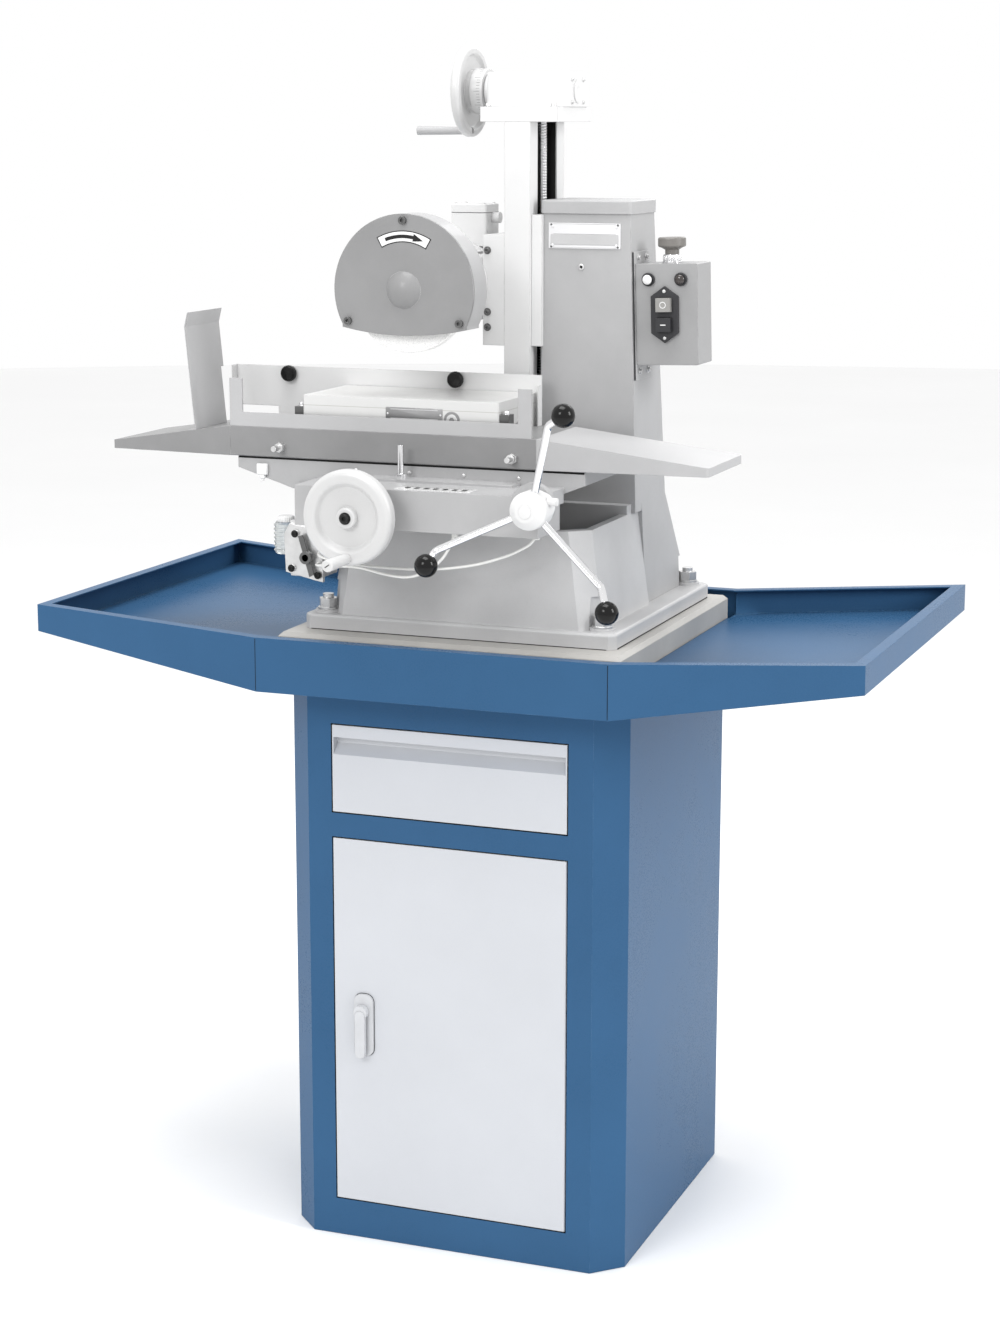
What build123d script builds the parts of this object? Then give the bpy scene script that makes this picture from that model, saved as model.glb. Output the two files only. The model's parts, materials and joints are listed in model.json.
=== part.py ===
from build123d import *
import os
from math import atan2, cos, radians, sin

os.makedirs("parts", exist_ok=True)

# Manual surface grinder on a sheet-steel cabinet stand. Millimetres.
# Origin: centre of the cabinet's footprint on the floor. +X right, +Y to the back, +Z up.

# ---- driving sizes -------------------------------------------------------------------------
cabinet_width = 513.0
cabinet_depth = 497.4
cabinet_height = 831.0
corner_cut = 40.0            # bevel of the two front corners
sheet = 2.0                  # wall of all folded sheet steel
thin_sheet = 1.5             # drawer box, guards
panel_gap = 2.0              # gap round the door and the drawer front
fold_depth = 20.0            # depth of the folded edge of door and drawer front
anchor_spacing_x = 400.0
anchor_spacing_y = 380.0
anchor_radius = 6.0

door_width = 356.0
door_height = 550.0
door_bottom = 57.5
drawer_front_height = 127.6
drawer_bottom = 646.7
drawer_box_width = 320.0
drawer_box_depth = 376.0
runner_height = 50.0
hinge_pin_radius = 2.0
running_gap = 0.05           # radial clearance of a shaft in its bore
hinge_inset_x = 4.0          # hinge axis behind the door's right edge
hinge_inset_y = 4.5

tray_depth = 77.6            # height of the chip tray's apron
tray_half_width = 260.8
tray_front = -323.8
tray_back = 301.4
wing_front = -207.7
wing_back = 466.4
right_wing_end = 583.7
left_wing_end = -678.3
wing_rise = 37.0             # the wings' floor above the centre pan's underside
rim_width = 17.0
plinth_height = 72.0
plinth_wall = 10.0
plinth_half_width = 257.0
plinth_front = -257.0
plinth_back = 265.0
plinth_bevel = 6.0

foot_half_width = 235.0
foot_front = -217.0
foot_back = 240.0
foot_thickness = 22.0
bolt_x = 208.0
bolt_front_y = -190.0
bolt_back_y = 212.0
bolt_radius = 8.0
boss_radius = 18.0
boss_height = 4.0
scallop_radius = 18.4        # hollow in the castings' walls that clears a foot bolt
scallop_height = 45.0
body_bottom_half = 205.0
body_top_half = 186.0
body_front_bottom = -207.0
body_front_top = -199.0
body_height = 137.0
body_wall = 12.0
body_corner = 26.0           # bevel of the base casting's front corners
ledge_front = -20.0
ledge_height = 13.0
column_front_foot = 30.0
way_width = 46.0
way_height = 20.0
left_way_x = -157.0
right_way_x = 45.0

column_left = 49.0
column_right = 180.0
column_depth = 110.0
column_height = 562.0
column_low_right = 192.0
column_low_back = 142.0
column_foot_back = 231.0
column_wall = 14.0
cap_height = 19.0
cap_overhang = 3.0

saddle_left = -345.0
saddle_right = 183.0
saddle_front = -196.0
saddle_back = -30.0
saddle_height = 43.0
saddle_lift = 19.0           # the carriage's underside above the base ways
slide_gap = 0.2              # between flat sliding faces
apron_left = -207.0
apron_right = 152.0
apron_front = -300.0
apron_drop = 35.0
apron_rise = 21.0

table_left = -355.0
table_right = 113.0
table_front = -200.0
table_back = -36.0
table_height = 43.0
table_gap = 0.8
vee_width = 18.0
vee_height = 8.0
wing_left_tip = -546.0
wing_right_tip = 360.0
wing_tip_drop = 29.0
wing_tip_corner = 5.0

chuck_left = -244.0
chuck_length = 298.0
chuck_width = 150.0
chuck_height = 47.0
key_radius = 8.0

spindle_x = -88.0
spindle_above_chuck = 151.0
guard_radius = 105.0
guard_front = -190.0
guard_depth = 50.0
guard_sheet = 4.0
guard_corner_x = 93.0
guard_corner_z = -53.0
guard_sag = 10.0
wheel_radius = 88.0
wheel_width = 18.0
arbor_radius = 12.0
motor_radius = 57.0
motor_length = 300.0

slide_left = -5.0
slide_right = 34.0
slide_front = -14.0
slide_back = 130.0
slide_web = 17.0
rail_width = 31.0
slide_length = 377.0
slide_overlap = 249.0        # slide's lower end below the column's top
screw_radius = 8.0
screw_y = 62.0
screw_x = 23.5
gear_case_left = -42.0
gear_case_right = 78.0
gear_case_height = 48.0

elevation_wheel_radius = 65.0
elevation_wheel_x = -94.0    # outer face
elevation_wheel_width = 14.0
cross_wheel_radius = 66.0
cross_wheel_face = -356.0
cross_wheel_width = 22.0
cross_x = -105.0
cross_above_body = 26.0
grip_length = 62.0
star_x = 157.0
star_above_saddle = 10.0     # star handle's axis above the carriage's underside
star_face = -352.0
star_hub_radius = 26.0
star_boss_radius = 30.0
star_shaft_radius = 10.0
star_boss_depth = 14.0
star_boss_shift = 14.0       # the boss sits this far to the left of the shaft
spoke_radius = 5.2
ball_radius = 16.0

# ---- levels and places that follow ----------------------------------------------------------
half_w = cabinet_width / 2
half_d = cabinet_depth / 2
door_half = door_width / 2
face_y = -half_d
door_top = door_bottom + door_height
drawer_top = drawer_bottom + drawer_front_height
tray_z = cabinet_height
rim_z = tray_z + tray_depth
wing_floor = tray_z + wing_rise
plinth_z = tray_z + sheet
foot_z = plinth_z + plinth_height
body_z = foot_z + foot_thickness
body_top = body_z + body_height
way_top = body_top + way_height
saddle_bottom = way_top + saddle_lift
saddle_top = saddle_bottom + saddle_height
table_z = saddle_top + table_gap
table_top = table_z + table_height
chuck_top = table_top + chuck_height
chuck_back = -40.0
chuck_front = chuck_back - chuck_width
chuck_right = chuck_left + chuck_length
spindle_z = chuck_top + spindle_above_chuck
column_top = body_z + column_height
slide_bottom = column_top - slide_overlap
slide_top = slide_bottom + slide_length
gear_case_z = slide_top + 21.0
crank_z = gear_case_z + 22.0
crank_y = screw_y
apron_bottom = saddle_bottom - apron_drop
apron_top = saddle_bottom + apron_rise
cross_z = body_top + cross_above_body
star_z = saddle_bottom + star_above_saddle
low_z = body_top + ledge_height
back_panel_top = chuck_top + 25.0


# ---- helpers ----------------------------------------------------------------------------------
def block(x, y, z, mode=Mode.ADD):
    """A box between two X, two Y and two Z values."""
    middle = ((x[0] + x[1]) / 2, (y[0] + y[1]) / 2, (z[0] + z[1]) / 2)
    with Locations(middle):
        Box(x[1] - x[0], y[1] - y[0], z[1] - z[0], mode=mode)


def rod(start, direction, length, radius, mode=Mode.ADD):
    """A round bar from a point along a direction."""
    with Locations(Plane(origin=start, z_dir=direction)):
        Cylinder(radius, length, align=(Align.CENTER, Align.CENTER, Align.MIN), mode=mode)


def cone_rod(start, direction, length, radius, end_radius, mode=Mode.ADD):
    """A tapered round bar."""
    with Locations(Plane(origin=start, z_dir=direction)):
        Cone(radius, end_radius, length, align=(Align.CENTER, Align.CENTER, Align.MIN), mode=mode)


def hexagon_bar(start, direction, length, across_flats):
    """A hexagonal nut or bolt head."""
    with BuildSketch(Plane(origin=start, z_dir=direction)) as profile:
        RegularPolygon(across_flats / 2, 6, major_radius=False)
    extrude(profile.sketch, amount=length)


def plate(plane, points, thickness, mode):
    """A flat piece with a straight-edged outline drawn on a plane."""
    with BuildSketch(plane) as profile:
        Polygon(*points, align=None)
    extrude(profile.sketch, amount=thickness, mode=mode)


def plate_xy(points, z0, z1, mode=Mode.ADD):
    plate(Plane.XY.offset(z0), points, z1 - z0, mode)


def plate_xz(points, y0, y1, mode=Mode.ADD):
    plate(Plane.XZ.offset(-y1), points, y1 - y0, mode)


def plate_yz(points, x0, x1, mode=Mode.ADD):
    plate(Plane.YZ.offset(x0), points, x1 - x0, mode)


def inset_outline(points, insets):
    """Move each edge of an anticlockwise outline inwards by its own amount."""
    lines = []
    for i, depth in enumerate(insets):
        a = Vector(*points[i], 0)
        b = Vector(*points[(i + 1) % len(points)], 0)
        along = (b - a).normalized()
        inward = Vector(-along.Y, along.X, 0)
        lines.append((a + inward * depth, along))
    corners = []
    for i in range(len(points)):
        p, u = lines[i - 1]
        q, v = lines[i]
        cross = u.X * v.Y - u.Y * v.X
        step = ((q.X - p.X) * v.Y - (q.Y - p.Y) * v.X) / cross
        corners.append((p.X + u.X * step, p.Y + u.Y * step))
    return corners


def save(builder, name):
    builder.part.label = name
    export_step(builder.part, f"parts/{name}.step")


# ---- cabinet ------------------------------------------------------------------------------------
def cabinet_plan(inset):
    cut = corner_cut - inset * 0.586
    w = half_w - inset
    d = half_d - inset
    return [(-w + cut, -d), (w - cut, -d), (w, -d + cut), (w, d), (-w, d), (-w, -d + cut)]


with BuildPart() as cabinet_shell:
    plate_xy(cabinet_plan(0), 0, cabinet_height)
    plate_xy(cabinet_plan(sheet), sheet, cabinet_height - sheet, Mode.SUBTRACT)
    block((-half_w + 50, half_w - 50), (-half_d + 50, half_d - 50),
          (cabinet_height - 2 * sheet, cabinet_height + 1), Mode.SUBTRACT)
    opening_x = (-door_half - panel_gap, door_half + panel_gap)
    opening_y = (face_y - 1, face_y + sheet + 1)
    block(opening_x, opening_y, (door_bottom - panel_gap, door_top + panel_gap), Mode.SUBTRACT)
    block(opening_x, opening_y, (drawer_bottom - panel_gap, drawer_top + panel_gap), Mode.SUBTRACT)
    with Locations(Plane.XY.offset(sheet)):
        with GridLocations(anchor_spacing_x, anchor_spacing_y, 2, 2):
            Hole(anchor_radius, depth=2 * sheet)
save(cabinet_shell, "cabinet_shell")

with BuildPart() as drawer_runners:
    web_x = door_half + panel_gap + sheet
    for side in (-1, 1):
        web = sorted((side * web_x, side * (web_x + sheet)))
        shelf = sorted((side * (drawer_box_width / 2 - 12), side * web_x))
        runner_z = drawer_bottom + 5.0
        block(web, (face_y + sheet, half_d - sheet), (runner_z - sheet, runner_z + runner_height))
        block(shelf, (face_y + fold_depth + 2, half_d - sheet), (runner_z - sheet, runner_z))
save(drawer_runners, "drawer_runners")

hinge_x = door_half - hinge_inset_x
hinge_y = face_y + hinge_inset_y
with BuildPart() as hinge_brackets:
    for edge, away in ((door_bottom, -1), (door_top, 1)):
        near = edge + away * 5.0
        far = near + away * 3.0
        leg = near + away * 25.0
        plate_x = (hinge_x - 10, hinge_x + 10)
        block(plate_x, (face_y + sheet, face_y + 22), sorted((near, far)))
        block(plate_x, (face_y + sheet, face_y + 2 * sheet), sorted((near, leg)))
        rod((hinge_x, hinge_y, near), (0, 0, -away), 10.0, hinge_pin_radius)
save(hinge_brackets, "hinge_brackets")

lever_x = -133.5
lever_z = 352.0
lever_shaft_radius = 5.0
escutcheon_width = 30.0
escutcheon_top = 378.0
escutcheon_bottom = 284.0
escutcheon_thickness = 4.0
with BuildPart() as cabinet_door:
    block((-door_half, door_half), (face_y, face_y + fold_depth), (door_bottom, door_top))
    hinge_edge = cabinet_door.edges().filter_by(Axis.Z).sort_by(Axis.Y)[0:2].sort_by(Axis.X)[-1]
    fillet(hinge_edge, 1.5 * sheet)
    block((-door_half + sheet, door_half - sheet), (face_y + sheet, face_y + fold_depth + 1),
          (door_bottom + sheet, door_top - sheet), Mode.SUBTRACT)
    for level in (door_bottom, door_top - sheet):
        rod((hinge_x, hinge_y, level - 1), (0, 0, 1), sheet + 2,
            hinge_pin_radius + running_gap, Mode.SUBTRACT)
    rod((lever_x, face_y - 1, lever_z), (0, 1, 0), sheet + 2,
        lever_shaft_radius + running_gap, Mode.SUBTRACT)
save(cabinet_door, "cabinet_door")

with BuildPart() as door_escutcheon:
    with BuildSketch(Plane.XZ.offset(-face_y)):
        with Locations((lever_x + 2, (escutcheon_top + escutcheon_bottom) / 2)):
            RectangleRounded(escutcheon_width, escutcheon_top - escutcheon_bottom, 12)
    extrude(amount=escutcheon_thickness)
    rod((lever_x, face_y + 1, lever_z), (0, -1, 0), escutcheon_thickness + 2,
        lever_shaft_radius + running_gap, Mode.SUBTRACT)
save(door_escutcheon, "door_escutcheon")

lever_face = face_y - escutcheon_thickness - 0.4
cam_y = face_y + fold_depth + 3.0
with BuildPart() as door_lever:
    rod((lever_x, lever_face, lever_z), (0, -1, 0), 9.0, 10.5)
    with BuildSketch(Plane.XZ.offset(-lever_face + 4.0)):
        with Locations((lever_x, lever_z - 33)):
            RectangleRounded(15.5, 72.0, 7.5)
    extrude(amount=6.0)
    rod((lever_x, lever_face, lever_z), (0, 1, 0), cam_y + 4 - lever_face, lever_shaft_radius)
    block((lever_x - 9, lever_x + 9), (cam_y, cam_y + 3), (lever_z - 9, lever_z + 54))
save(door_lever, "door_lever")

with BuildPart() as drawer:
    block((-door_half, door_half), (face_y, face_y + fold_depth), (drawer_bottom, drawer_top))
    grip_back = face_y + 13.0
    grip_cut = [(face_y - 1, drawer_top - 44), (face_y, drawer_top - 43), (grip_back, drawer_top - 28),
                (grip_back, drawer_top - 5), (face_y + sheet, drawer_top - 5),
                (face_y + sheet, drawer_top - 18), (face_y - 1, drawer_top - 18)]
    plate_yz(grip_cut, -door_half + sheet, door_half - sheet, Mode.SUBTRACT)
    block((-door_half + sheet, door_half - sheet), (face_y + sheet, face_y + fold_depth + 1),
          (drawer_bottom + sheet, drawer_top - 46), Mode.SUBTRACT)
    box_x = (-drawer_box_width / 2, drawer_box_width / 2)
    box_floor = drawer_bottom + 5.2
    box_rim = drawer_top - 46
    block(box_x, (face_y + sheet, face_y + sheet + drawer_box_depth), (box_floor, box_rim))
    block((box_x[0] + thin_sheet, box_x[1] - thin_sheet),
          (face_y + sheet, face_y + sheet + drawer_box_depth - thin_sheet),
          (box_floor + thin_sheet, box_rim + 1), Mode.SUBTRACT)
save(drawer, "drawer")


# ---- chip tray -----------------------------------------------------------------------------------
with BuildPart() as tray_centre:
    pan_x = (-tray_half_width, tray_half_width)
    block(pan_x, (tray_front, tray_back), (tray_z, tray_z + sheet))
    for wall in ((tray_front, tray_front + sheet), (tray_back - sheet, tray_back)):
        block(pan_x, wall, (tray_z, rim_z))
    for rim in ((tray_front, tray_front + rim_width), (tray_back - rim_width, tray_back)):
        block(pan_x, rim, (rim_z - sheet, rim_z))
    for wall in ((-tray_half_width, -tray_half_width + sheet), (tray_half_width - sheet, tray_half_width)):
        block(wall, (tray_front, tray_back), (tray_z, wing_floor))
save(tray_centre, "tray_centre")


def make_wing(side, end):
    """One swept wing of the tray: a floor, three apron walls and a folded rim."""
    near = side * tray_half_width
    plan = [(near, tray_front), (end, wing_front), (end, wing_back), (near, tray_back)]
    walls = [sheet, sheet, sheet, 0]
    rims = [rim_width, rim_width, rim_width, 0]
    if side < 0:
        plan = [plan[0], plan[3], plan[2], plan[1]]
        walls = [0, sheet, sheet, sheet]
        rims = [0, rim_width, rim_width, rim_width]
    plate_xy(plan, tray_z, rim_z)
    plate_xy(inset_outline(plan, walls), tray_z, rim_z, Mode.SUBTRACT)
    plate_xy(plan, wing_floor, wing_floor + sheet)
    plate_xy(plan, rim_z - sheet, rim_z)
    plate_xy(inset_outline(plan, rims), rim_z - sheet, rim_z, Mode.SUBTRACT)
    lap = sorted((near, near - side * sheet))
    block(lap, (tray_front + sheet, tray_back - sheet), (wing_floor, wing_floor + sheet))
    slope = [(near, tray_z), (end, wing_floor), (end + side * 5, tray_z - 5), (near, tray_z - 5)]
    plate_xz(slope, tray_front - 5, wing_back + 5, Mode.SUBTRACT)


with BuildPart() as tray_wing_left:
    make_wing(-1, left_wing_end)
save(tray_wing_left, "tray_wing_left")

with BuildPart() as tray_wing_right:
    make_wing(1, right_wing_end)
    notch_rise = (wing_back - tray_back) / (right_wing_end - tray_half_width)
    notch_x = tray_half_width + 40
    notch_y = tray_back - 2 * sheet
    notch = [(tray_half_width - sheet - 1, notch_y - 45), (notch_x, notch_y + 40 * notch_rise),
             (tray_half_width - sheet - 1, notch_y)]
    plate_xy(notch, wing_floor - 1, wing_floor + sheet + 1, Mode.SUBTRACT)
save(tray_wing_right, "tray_wing_right")

with BuildPart() as plinth:
    plinth_x = (-plinth_half_width, plinth_half_width)
    block(plinth_x, (plinth_front, plinth_back), (plinth_z, foot_z))
    chamfer(plinth.edges().group_by(Axis.Z)[-1], plinth_bevel)
    block((plinth_x[0] + plinth_wall, plinth_x[1] - plinth_wall),
          (plinth_front + plinth_wall, plinth_back - plinth_wall),
          (plinth_z - 1, foot_z - plinth_wall), Mode.SUBTRACT)
save(plinth, "plinth")


# ---- base casting and column ---------------------------------------------------------------------
def body_section(half, front, back, cut):
    return [(-half + cut, front), (half - cut, front), (half, front + cut),
            (half, back), (-half, back), (-half, front + cut)]


def loft_sections(low, low_level, high, high_level, mode=Mode.ADD):
    """A straight-sided taper between two level outlines."""
    with BuildSketch(Plane.XY.offset(low_level)) as bottom:
        Polygon(*low, align=None)
    with BuildSketch(Plane.XY.offset(high_level)) as top:
        Polygon(*high, align=None)
    loft([bottom.sketch.face(), top.sketch.face()], ruled=True, mode=mode)


bolt_places = [(sx * bolt_x, y) for sx in (-1, 1) for y in (bolt_front_y, bolt_back_y)]
with BuildPart() as base_casting:
    block((-foot_half_width, foot_half_width), (foot_front, foot_back), (foot_z, body_z))
    chamfer(base_casting.edges().filter_by(Axis.Z), 10)
    fillet(base_casting.edges().group_by(Axis.Z)[-1], 4)
    body_low = body_section(body_bottom_half, body_front_bottom, column_front_foot, body_corner)
    body_high = body_section(body_top_half, body_front_top, column_front_foot, body_corner)
    loft_sections(body_low, body_z, body_high, body_top)
    pocket_half = body_top_half - body_wall
    pocket_front = body_front_top + body_wall
    pocket = body_section(pocket_half, pocket_front, ledge_front, body_corner)
    plate_xy(pocket, body_z + 12, body_top + 1, Mode.SUBTRACT)
    block((-body_top_half, body_top_half), (ledge_front, 0), (body_top, low_z))
    for x in (left_way_x, right_way_x):
        block((x - way_width / 2, x + way_width / 2), (pocket_front, ledge_front),
              (body_top - 40, way_top))
    nut_x = (cross_x - 20, cross_x + 20)
    nut_y = (body_front_top + 1, body_front_top + 24)
    block(nut_x, nut_y, (body_top - 60, saddle_bottom - 3))
    rod((cross_x, nut_y[0] - 5, cross_z), (0, 1, 0), 40.0,
        screw_radius + running_gap, Mode.SUBTRACT)
    for x, y in bolt_places:
        rod((x, y, body_z), (0, 0, 1), scallop_height, scallop_radius, Mode.SUBTRACT)
        rod((x, y, body_z), (0, 0, 1), boss_height, boss_radius)
        rod((x, y, foot_z - 1), (0, 0, 1), foot_thickness + 10, bolt_radius, Mode.SUBTRACT)
save(base_casting, "base_casting")

with BuildPart() as base_bolts:
    washer_z = body_z + boss_height
    for x, y in bolt_places:
        rod((x, y, washer_z), (0, 0, 1), 3.0, 15.0)
        hexagon_bar((x, y, washer_z + 3), (0, 0, 1), 13.0, 24.0)
        rod((x, y, washer_z + 16), (0, 0, 1), 6.0, bolt_radius)
        rod((x, y, foot_z), (0, 0, 1), washer_z - foot_z, bolt_radius)
save(base_bolts, "base_bolts")


def rectangle_points(x0, x1, y0, y1):
    return [(x0, y0), (x1, y0), (x1, y1), (x0, y1)]


with BuildPart() as column:
    low_left = column_left - 4
    loft_sections(rectangle_points(low_left, column_low_right, 0, column_low_back), low_z,
                  rectangle_points(column_left, column_right, 0, column_depth), column_top)
    loft_sections(rectangle_points(-body_bottom_half + 6, body_bottom_half - 5, column_front_foot,
                                   column_foot_back), body_z,
                  rectangle_points(low_left, column_low_right, column_front_foot, column_low_back), low_z)
    block((low_left, column_low_right), (0, column_front_foot), (body_top, low_z))
    inner_low = rectangle_points(low_left + column_wall, column_low_right - column_wall,
                                 column_wall, column_low_back - column_wall)
    inner_high = rectangle_points(column_left + column_wall, column_right - column_wall,
                                  column_wall, column_depth - column_wall)
    loft_sections(inner_low, low_z, inner_high, column_top, Mode.SUBTRACT)
    plug_x = 107.0
    plug_z = column_top - 75
    rod((plug_x, -1, plug_z), (0, 1, 0), 3.0, 4.5, Mode.SUBTRACT)
    for x, y in bolt_places:
        rod((x, y, body_z), (0, 0, 1), scallop_height, scallop_radius, Mode.SUBTRACT)
save(column, "column")

with BuildPart() as column_cap:
    with BuildSketch(Plane.XY.offset(column_top)):
        with Locations(((column_left + column_right) / 2, column_depth / 2)):
            RectangleRounded(column_right - column_left + 2 * cap_overhang,
                             column_depth + 2 * cap_overhang, 6)
    extrude(amount=cap_height)
    fillet(column_cap.edges().group_by(Axis.Z)[-1], 2.5)
save(column_cap, "column_cap")

plate_left = 58.0
plate_right = 166.0
nameplate_top = column_top - 13
nameplate_height = 36.0
with BuildPart() as nameplate:
    plate_z = (nameplate_top - nameplate_height, nameplate_top)
    block((plate_left, plate_right), (-1.5, 0), plate_z)
    for x in (plate_left + 6, plate_right - 6):
        for z in (plate_z[0] + 5, plate_z[1] - 5):
            rod((x, -1.5, z), (0, -1, 0), 1.0, 2.0)
save(nameplate, "nameplate")

block_left = slide_right + 0.3
block_bottom = slide_bottom + 60
block_top = column_top - 2
with BuildPart() as dovetail_block:
    block((block_left, column_left + 1), (slide_front + 6, column_depth - 4), (block_bottom, block_top))
    loft_sections(rectangle_points(low_left, column_low_right, 0, column_low_back), low_z,
                  rectangle_points(column_left, column_right, 0, column_depth), column_top,
                  Mode.SUBTRACT)
save(dovetail_block, "dovetail_block")

recess_front = slide_front + rail_width
recess_back = slide_back - rail_width
nut_bottom = slide_bottom + 172
with BuildPart() as elevating_nut:
    block((screw_x - 10, block_left), (screw_y - 22, screw_y + 22), (nut_bottom, nut_bottom + 36))
    rod((screw_x, screw_y, nut_bottom - 1), (0, 0, 1), 38.0,
        screw_radius + running_gap, Mode.SUBTRACT)
save(elevating_nut, "elevating_nut")


# ---- switch box on the column's side -------------------------------------------------------------
box_middle_z = column_top - 141
side_slope = (column_low_right - column_right) / (column_top - low_z)
side_x = column_right + (column_top - box_middle_z) * side_slope
side_lean = atan2(column_low_right - column_right, column_top - low_z)
lean_plane = Plane(origin=(side_x, 0, box_middle_z), x_dir=(cos(side_lean), 0, sin(side_lean)),
                   z_dir=(-sin(side_lean), 0, cos(side_lean)))
bracket_thickness = 3.0
switch_box_width = 92.0
switch_box_depth = 66.0
switch_box_height = 143.0
switch_box_front = 8.0
box_left = bracket_thickness
box_right = box_left + switch_box_width
box_half = switch_box_height / 2
box_back = switch_box_front + switch_box_depth


def lean_block(x, y, z, mode=Mode.ADD):
    """A box in the leaning frame of the column's side."""
    middle = lean_plane.from_local_coords(((x[0] + x[1]) / 2, (y[0] + y[1]) / 2, (z[0] + z[1]) / 2))
    with Locations(Plane(origin=middle, x_dir=lean_plane.x_dir, z_dir=lean_plane.z_dir)):
        Box(x[1] - x[0], y[1] - y[0], z[1] - z[0], mode=mode)


def front_plane(x, y, z):
    """A plane on the box's front, facing the operator."""
    return Plane(origin=lean_plane.from_local_coords((x, y, z)), x_dir=lean_plane.x_dir, z_dir=(0, -1, 0))


with BuildPart() as switch_bracket:
    bracket_y = (switch_box_front - 4, box_back + 4)
    lean_block((0, bracket_thickness), bracket_y, (-box_half - 22, box_half + 17))
save(switch_bracket, "switch_bracket")

button_radius = 9.5
stop_stem_radius = 7.0
switch_x = box_left + 44
start_z = -14.0
stop_z = 14.0
emergency_x = box_left + 46
emergency_y = switch_box_front + 30
with BuildPart() as switch_box:
    lean_block((box_left, box_right), (switch_box_front, box_back), (-box_half, box_half))
    fillet(switch_box.edges().filter_by(Axis.Y), 2)
    lean_block((box_left + sheet, box_right - sheet), (switch_box_front + sheet, box_back + 1),
               (-box_half + sheet, box_half - sheet), Mode.SUBTRACT)
    for z in (start_z, stop_z):
        with Locations(front_plane(switch_x, switch_box_front + sheet + 1, z)):
            Box(22, 20, 2 * sheet + 4, mode=Mode.SUBTRACT)
    top_middle = lean_plane.from_local_coords((emergency_x, emergency_y, box_half + 1))
    rod(top_middle, -lean_plane.z_dir, sheet + 3, stop_stem_radius + running_gap, Mode.SUBTRACT)
save(switch_box, "switch_box")

with BuildPart() as switch_plate:
    with BuildSketch(front_plane(switch_x, switch_box_front, 0)):
        Polygon((-20, -26), (0, -40), (20, -26), (20, 26), (0, 40), (-20, 26), align=None)
        for z in (start_z, stop_z):
            with Locations((0, z)):
                Rectangle(22, 20, mode=Mode.SUBTRACT)
    extrude(amount=5)
save(switch_plate, "switch_plate")

with BuildPart() as signal_lamps:
    for x in (box_left + 20, box_left + 68):
        lamp = front_plane(x, switch_box_front, box_half - 22)
        rod(lamp.origin, lamp.z_dir, 4.0, 9.0)
        rod(lamp.origin + lamp.z_dir * 4, lamp.z_dir, 4.0, 7.0)
save(signal_lamps, "signal_lamps")


def push_button(z):
    """A rectangular push button that slides in the switch plate."""
    with Locations(front_plane(switch_x, switch_box_front, z)):
        Box(21.4, 19.4, 26.0)


with BuildPart() as start_button:
    push_button(start_z)
save(start_button, "start_button")

with BuildPart() as stop_button:
    push_button(stop_z)
save(stop_button, "stop_button")

with BuildPart() as emergency_button:
    stem_low = lean_plane.from_local_coords((emergency_x, emergency_y, box_half - 18))
    head_low = lean_plane.from_local_coords((emergency_x, emergency_y, box_half + 22))
    rod(stem_low, lean_plane.z_dir, 40.5, stop_stem_radius)
    rod(head_low, lean_plane.z_dir, 14.0, 20.0)
    fillet(emergency_button.edges().sort_by(SortBy.LENGTH)[-2:], 3)
save(emergency_button, "emergency_button")


# ---- saddle --------------------------------------------------------------------------------------
with BuildPart() as saddle:
    profile = [(saddle_left, saddle_top), (saddle_left, saddle_top - 16),
               (saddle_left + 87, saddle_bottom), (saddle_right - 63, saddle_bottom),
               (saddle_right, saddle_top - 18), (saddle_right, saddle_top)]
    plate_xz(profile, saddle_front, saddle_back)
    for x in (left_way_x, right_way_x):
        block((x - way_width / 2, x + way_width / 2), (saddle_front + 8, saddle_back - 6),
              (way_top + slide_gap, saddle_bottom))
    apron_x = (apron_left, apron_right)
    block(apron_x, (apron_front, saddle_front), (saddle_bottom, apron_top))
    block(apron_x, (apron_front, body_front_top - 13), (apron_bottom, saddle_bottom))
    rod((star_x - star_boss_shift, apron_front, star_z), (0, 1, 0), star_boss_depth, star_boss_radius)
    land_top = apron_top + 4
    block((-165, 88), (saddle_front - 32, saddle_front), (apron_top, land_top))
    block((-250, -210), (saddle_front - 9, saddle_front + 11), (saddle_bottom - 43, saddle_bottom + 8))
    vee_middle = (table_front + table_back) / 2
    for y in (vee_middle - 50, vee_middle + 50):
        ridge = [(y - vee_width / 2, saddle_top), (y + vee_width / 2, saddle_top),
                 (y, saddle_top + vee_height)]
        plate_yz(ridge, saddle_left, saddle_right)
    rod((cross_x, apron_front - 1, cross_z), (0, 1, 0), 100.0, screw_radius + running_gap, Mode.SUBTRACT)
    rod((star_x, apron_front - 1, star_z), (0, 1, 0), star_boss_depth + 2,
        star_shaft_radius + running_gap, Mode.SUBTRACT)
save(saddle, "saddle")

post_x = -80.0
post_y = saddle_front - 26
with BuildPart() as stop_post:
    hexagon_bar((post_x, post_y, land_top), (0, 0, 1), 8.0, 13.0)
    rod((post_x, post_y, land_top + 8), (0, 0, 1), 40.0, 4.5)
save(stop_post, "stop_post")

pump_face = -221.0
pump_x = (-255.0, -205.0)
pump_top = saddle_bottom - 43
pump_shaft_x = -223.0
pump_shaft_z = pump_top - 50
with BuildPart() as oil_pump:
    block(pump_x, (pump_face + 6, pump_face + 56), (pump_top - 80, pump_top))
    plate_xz([(-262, pump_top - 20), (-254, pump_top - 4), (-203, pump_top - 12), (-202, pump_top - 86),
              (-214, pump_top - 84), (-260, pump_top - 74)], pump_face, pump_face + 6)
    rod((pump_shaft_x, pump_face - 6, pump_shaft_z), (0, 1, 0), 6.0, 6.0)
    for x, z in ((-244, pump_top - 18), (-250, pump_top - 68)):
        rod((x, pump_face - 3, z), (0, 1, 0), 3.0, 5.0)
save(oil_pump, "oil_pump")

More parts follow.
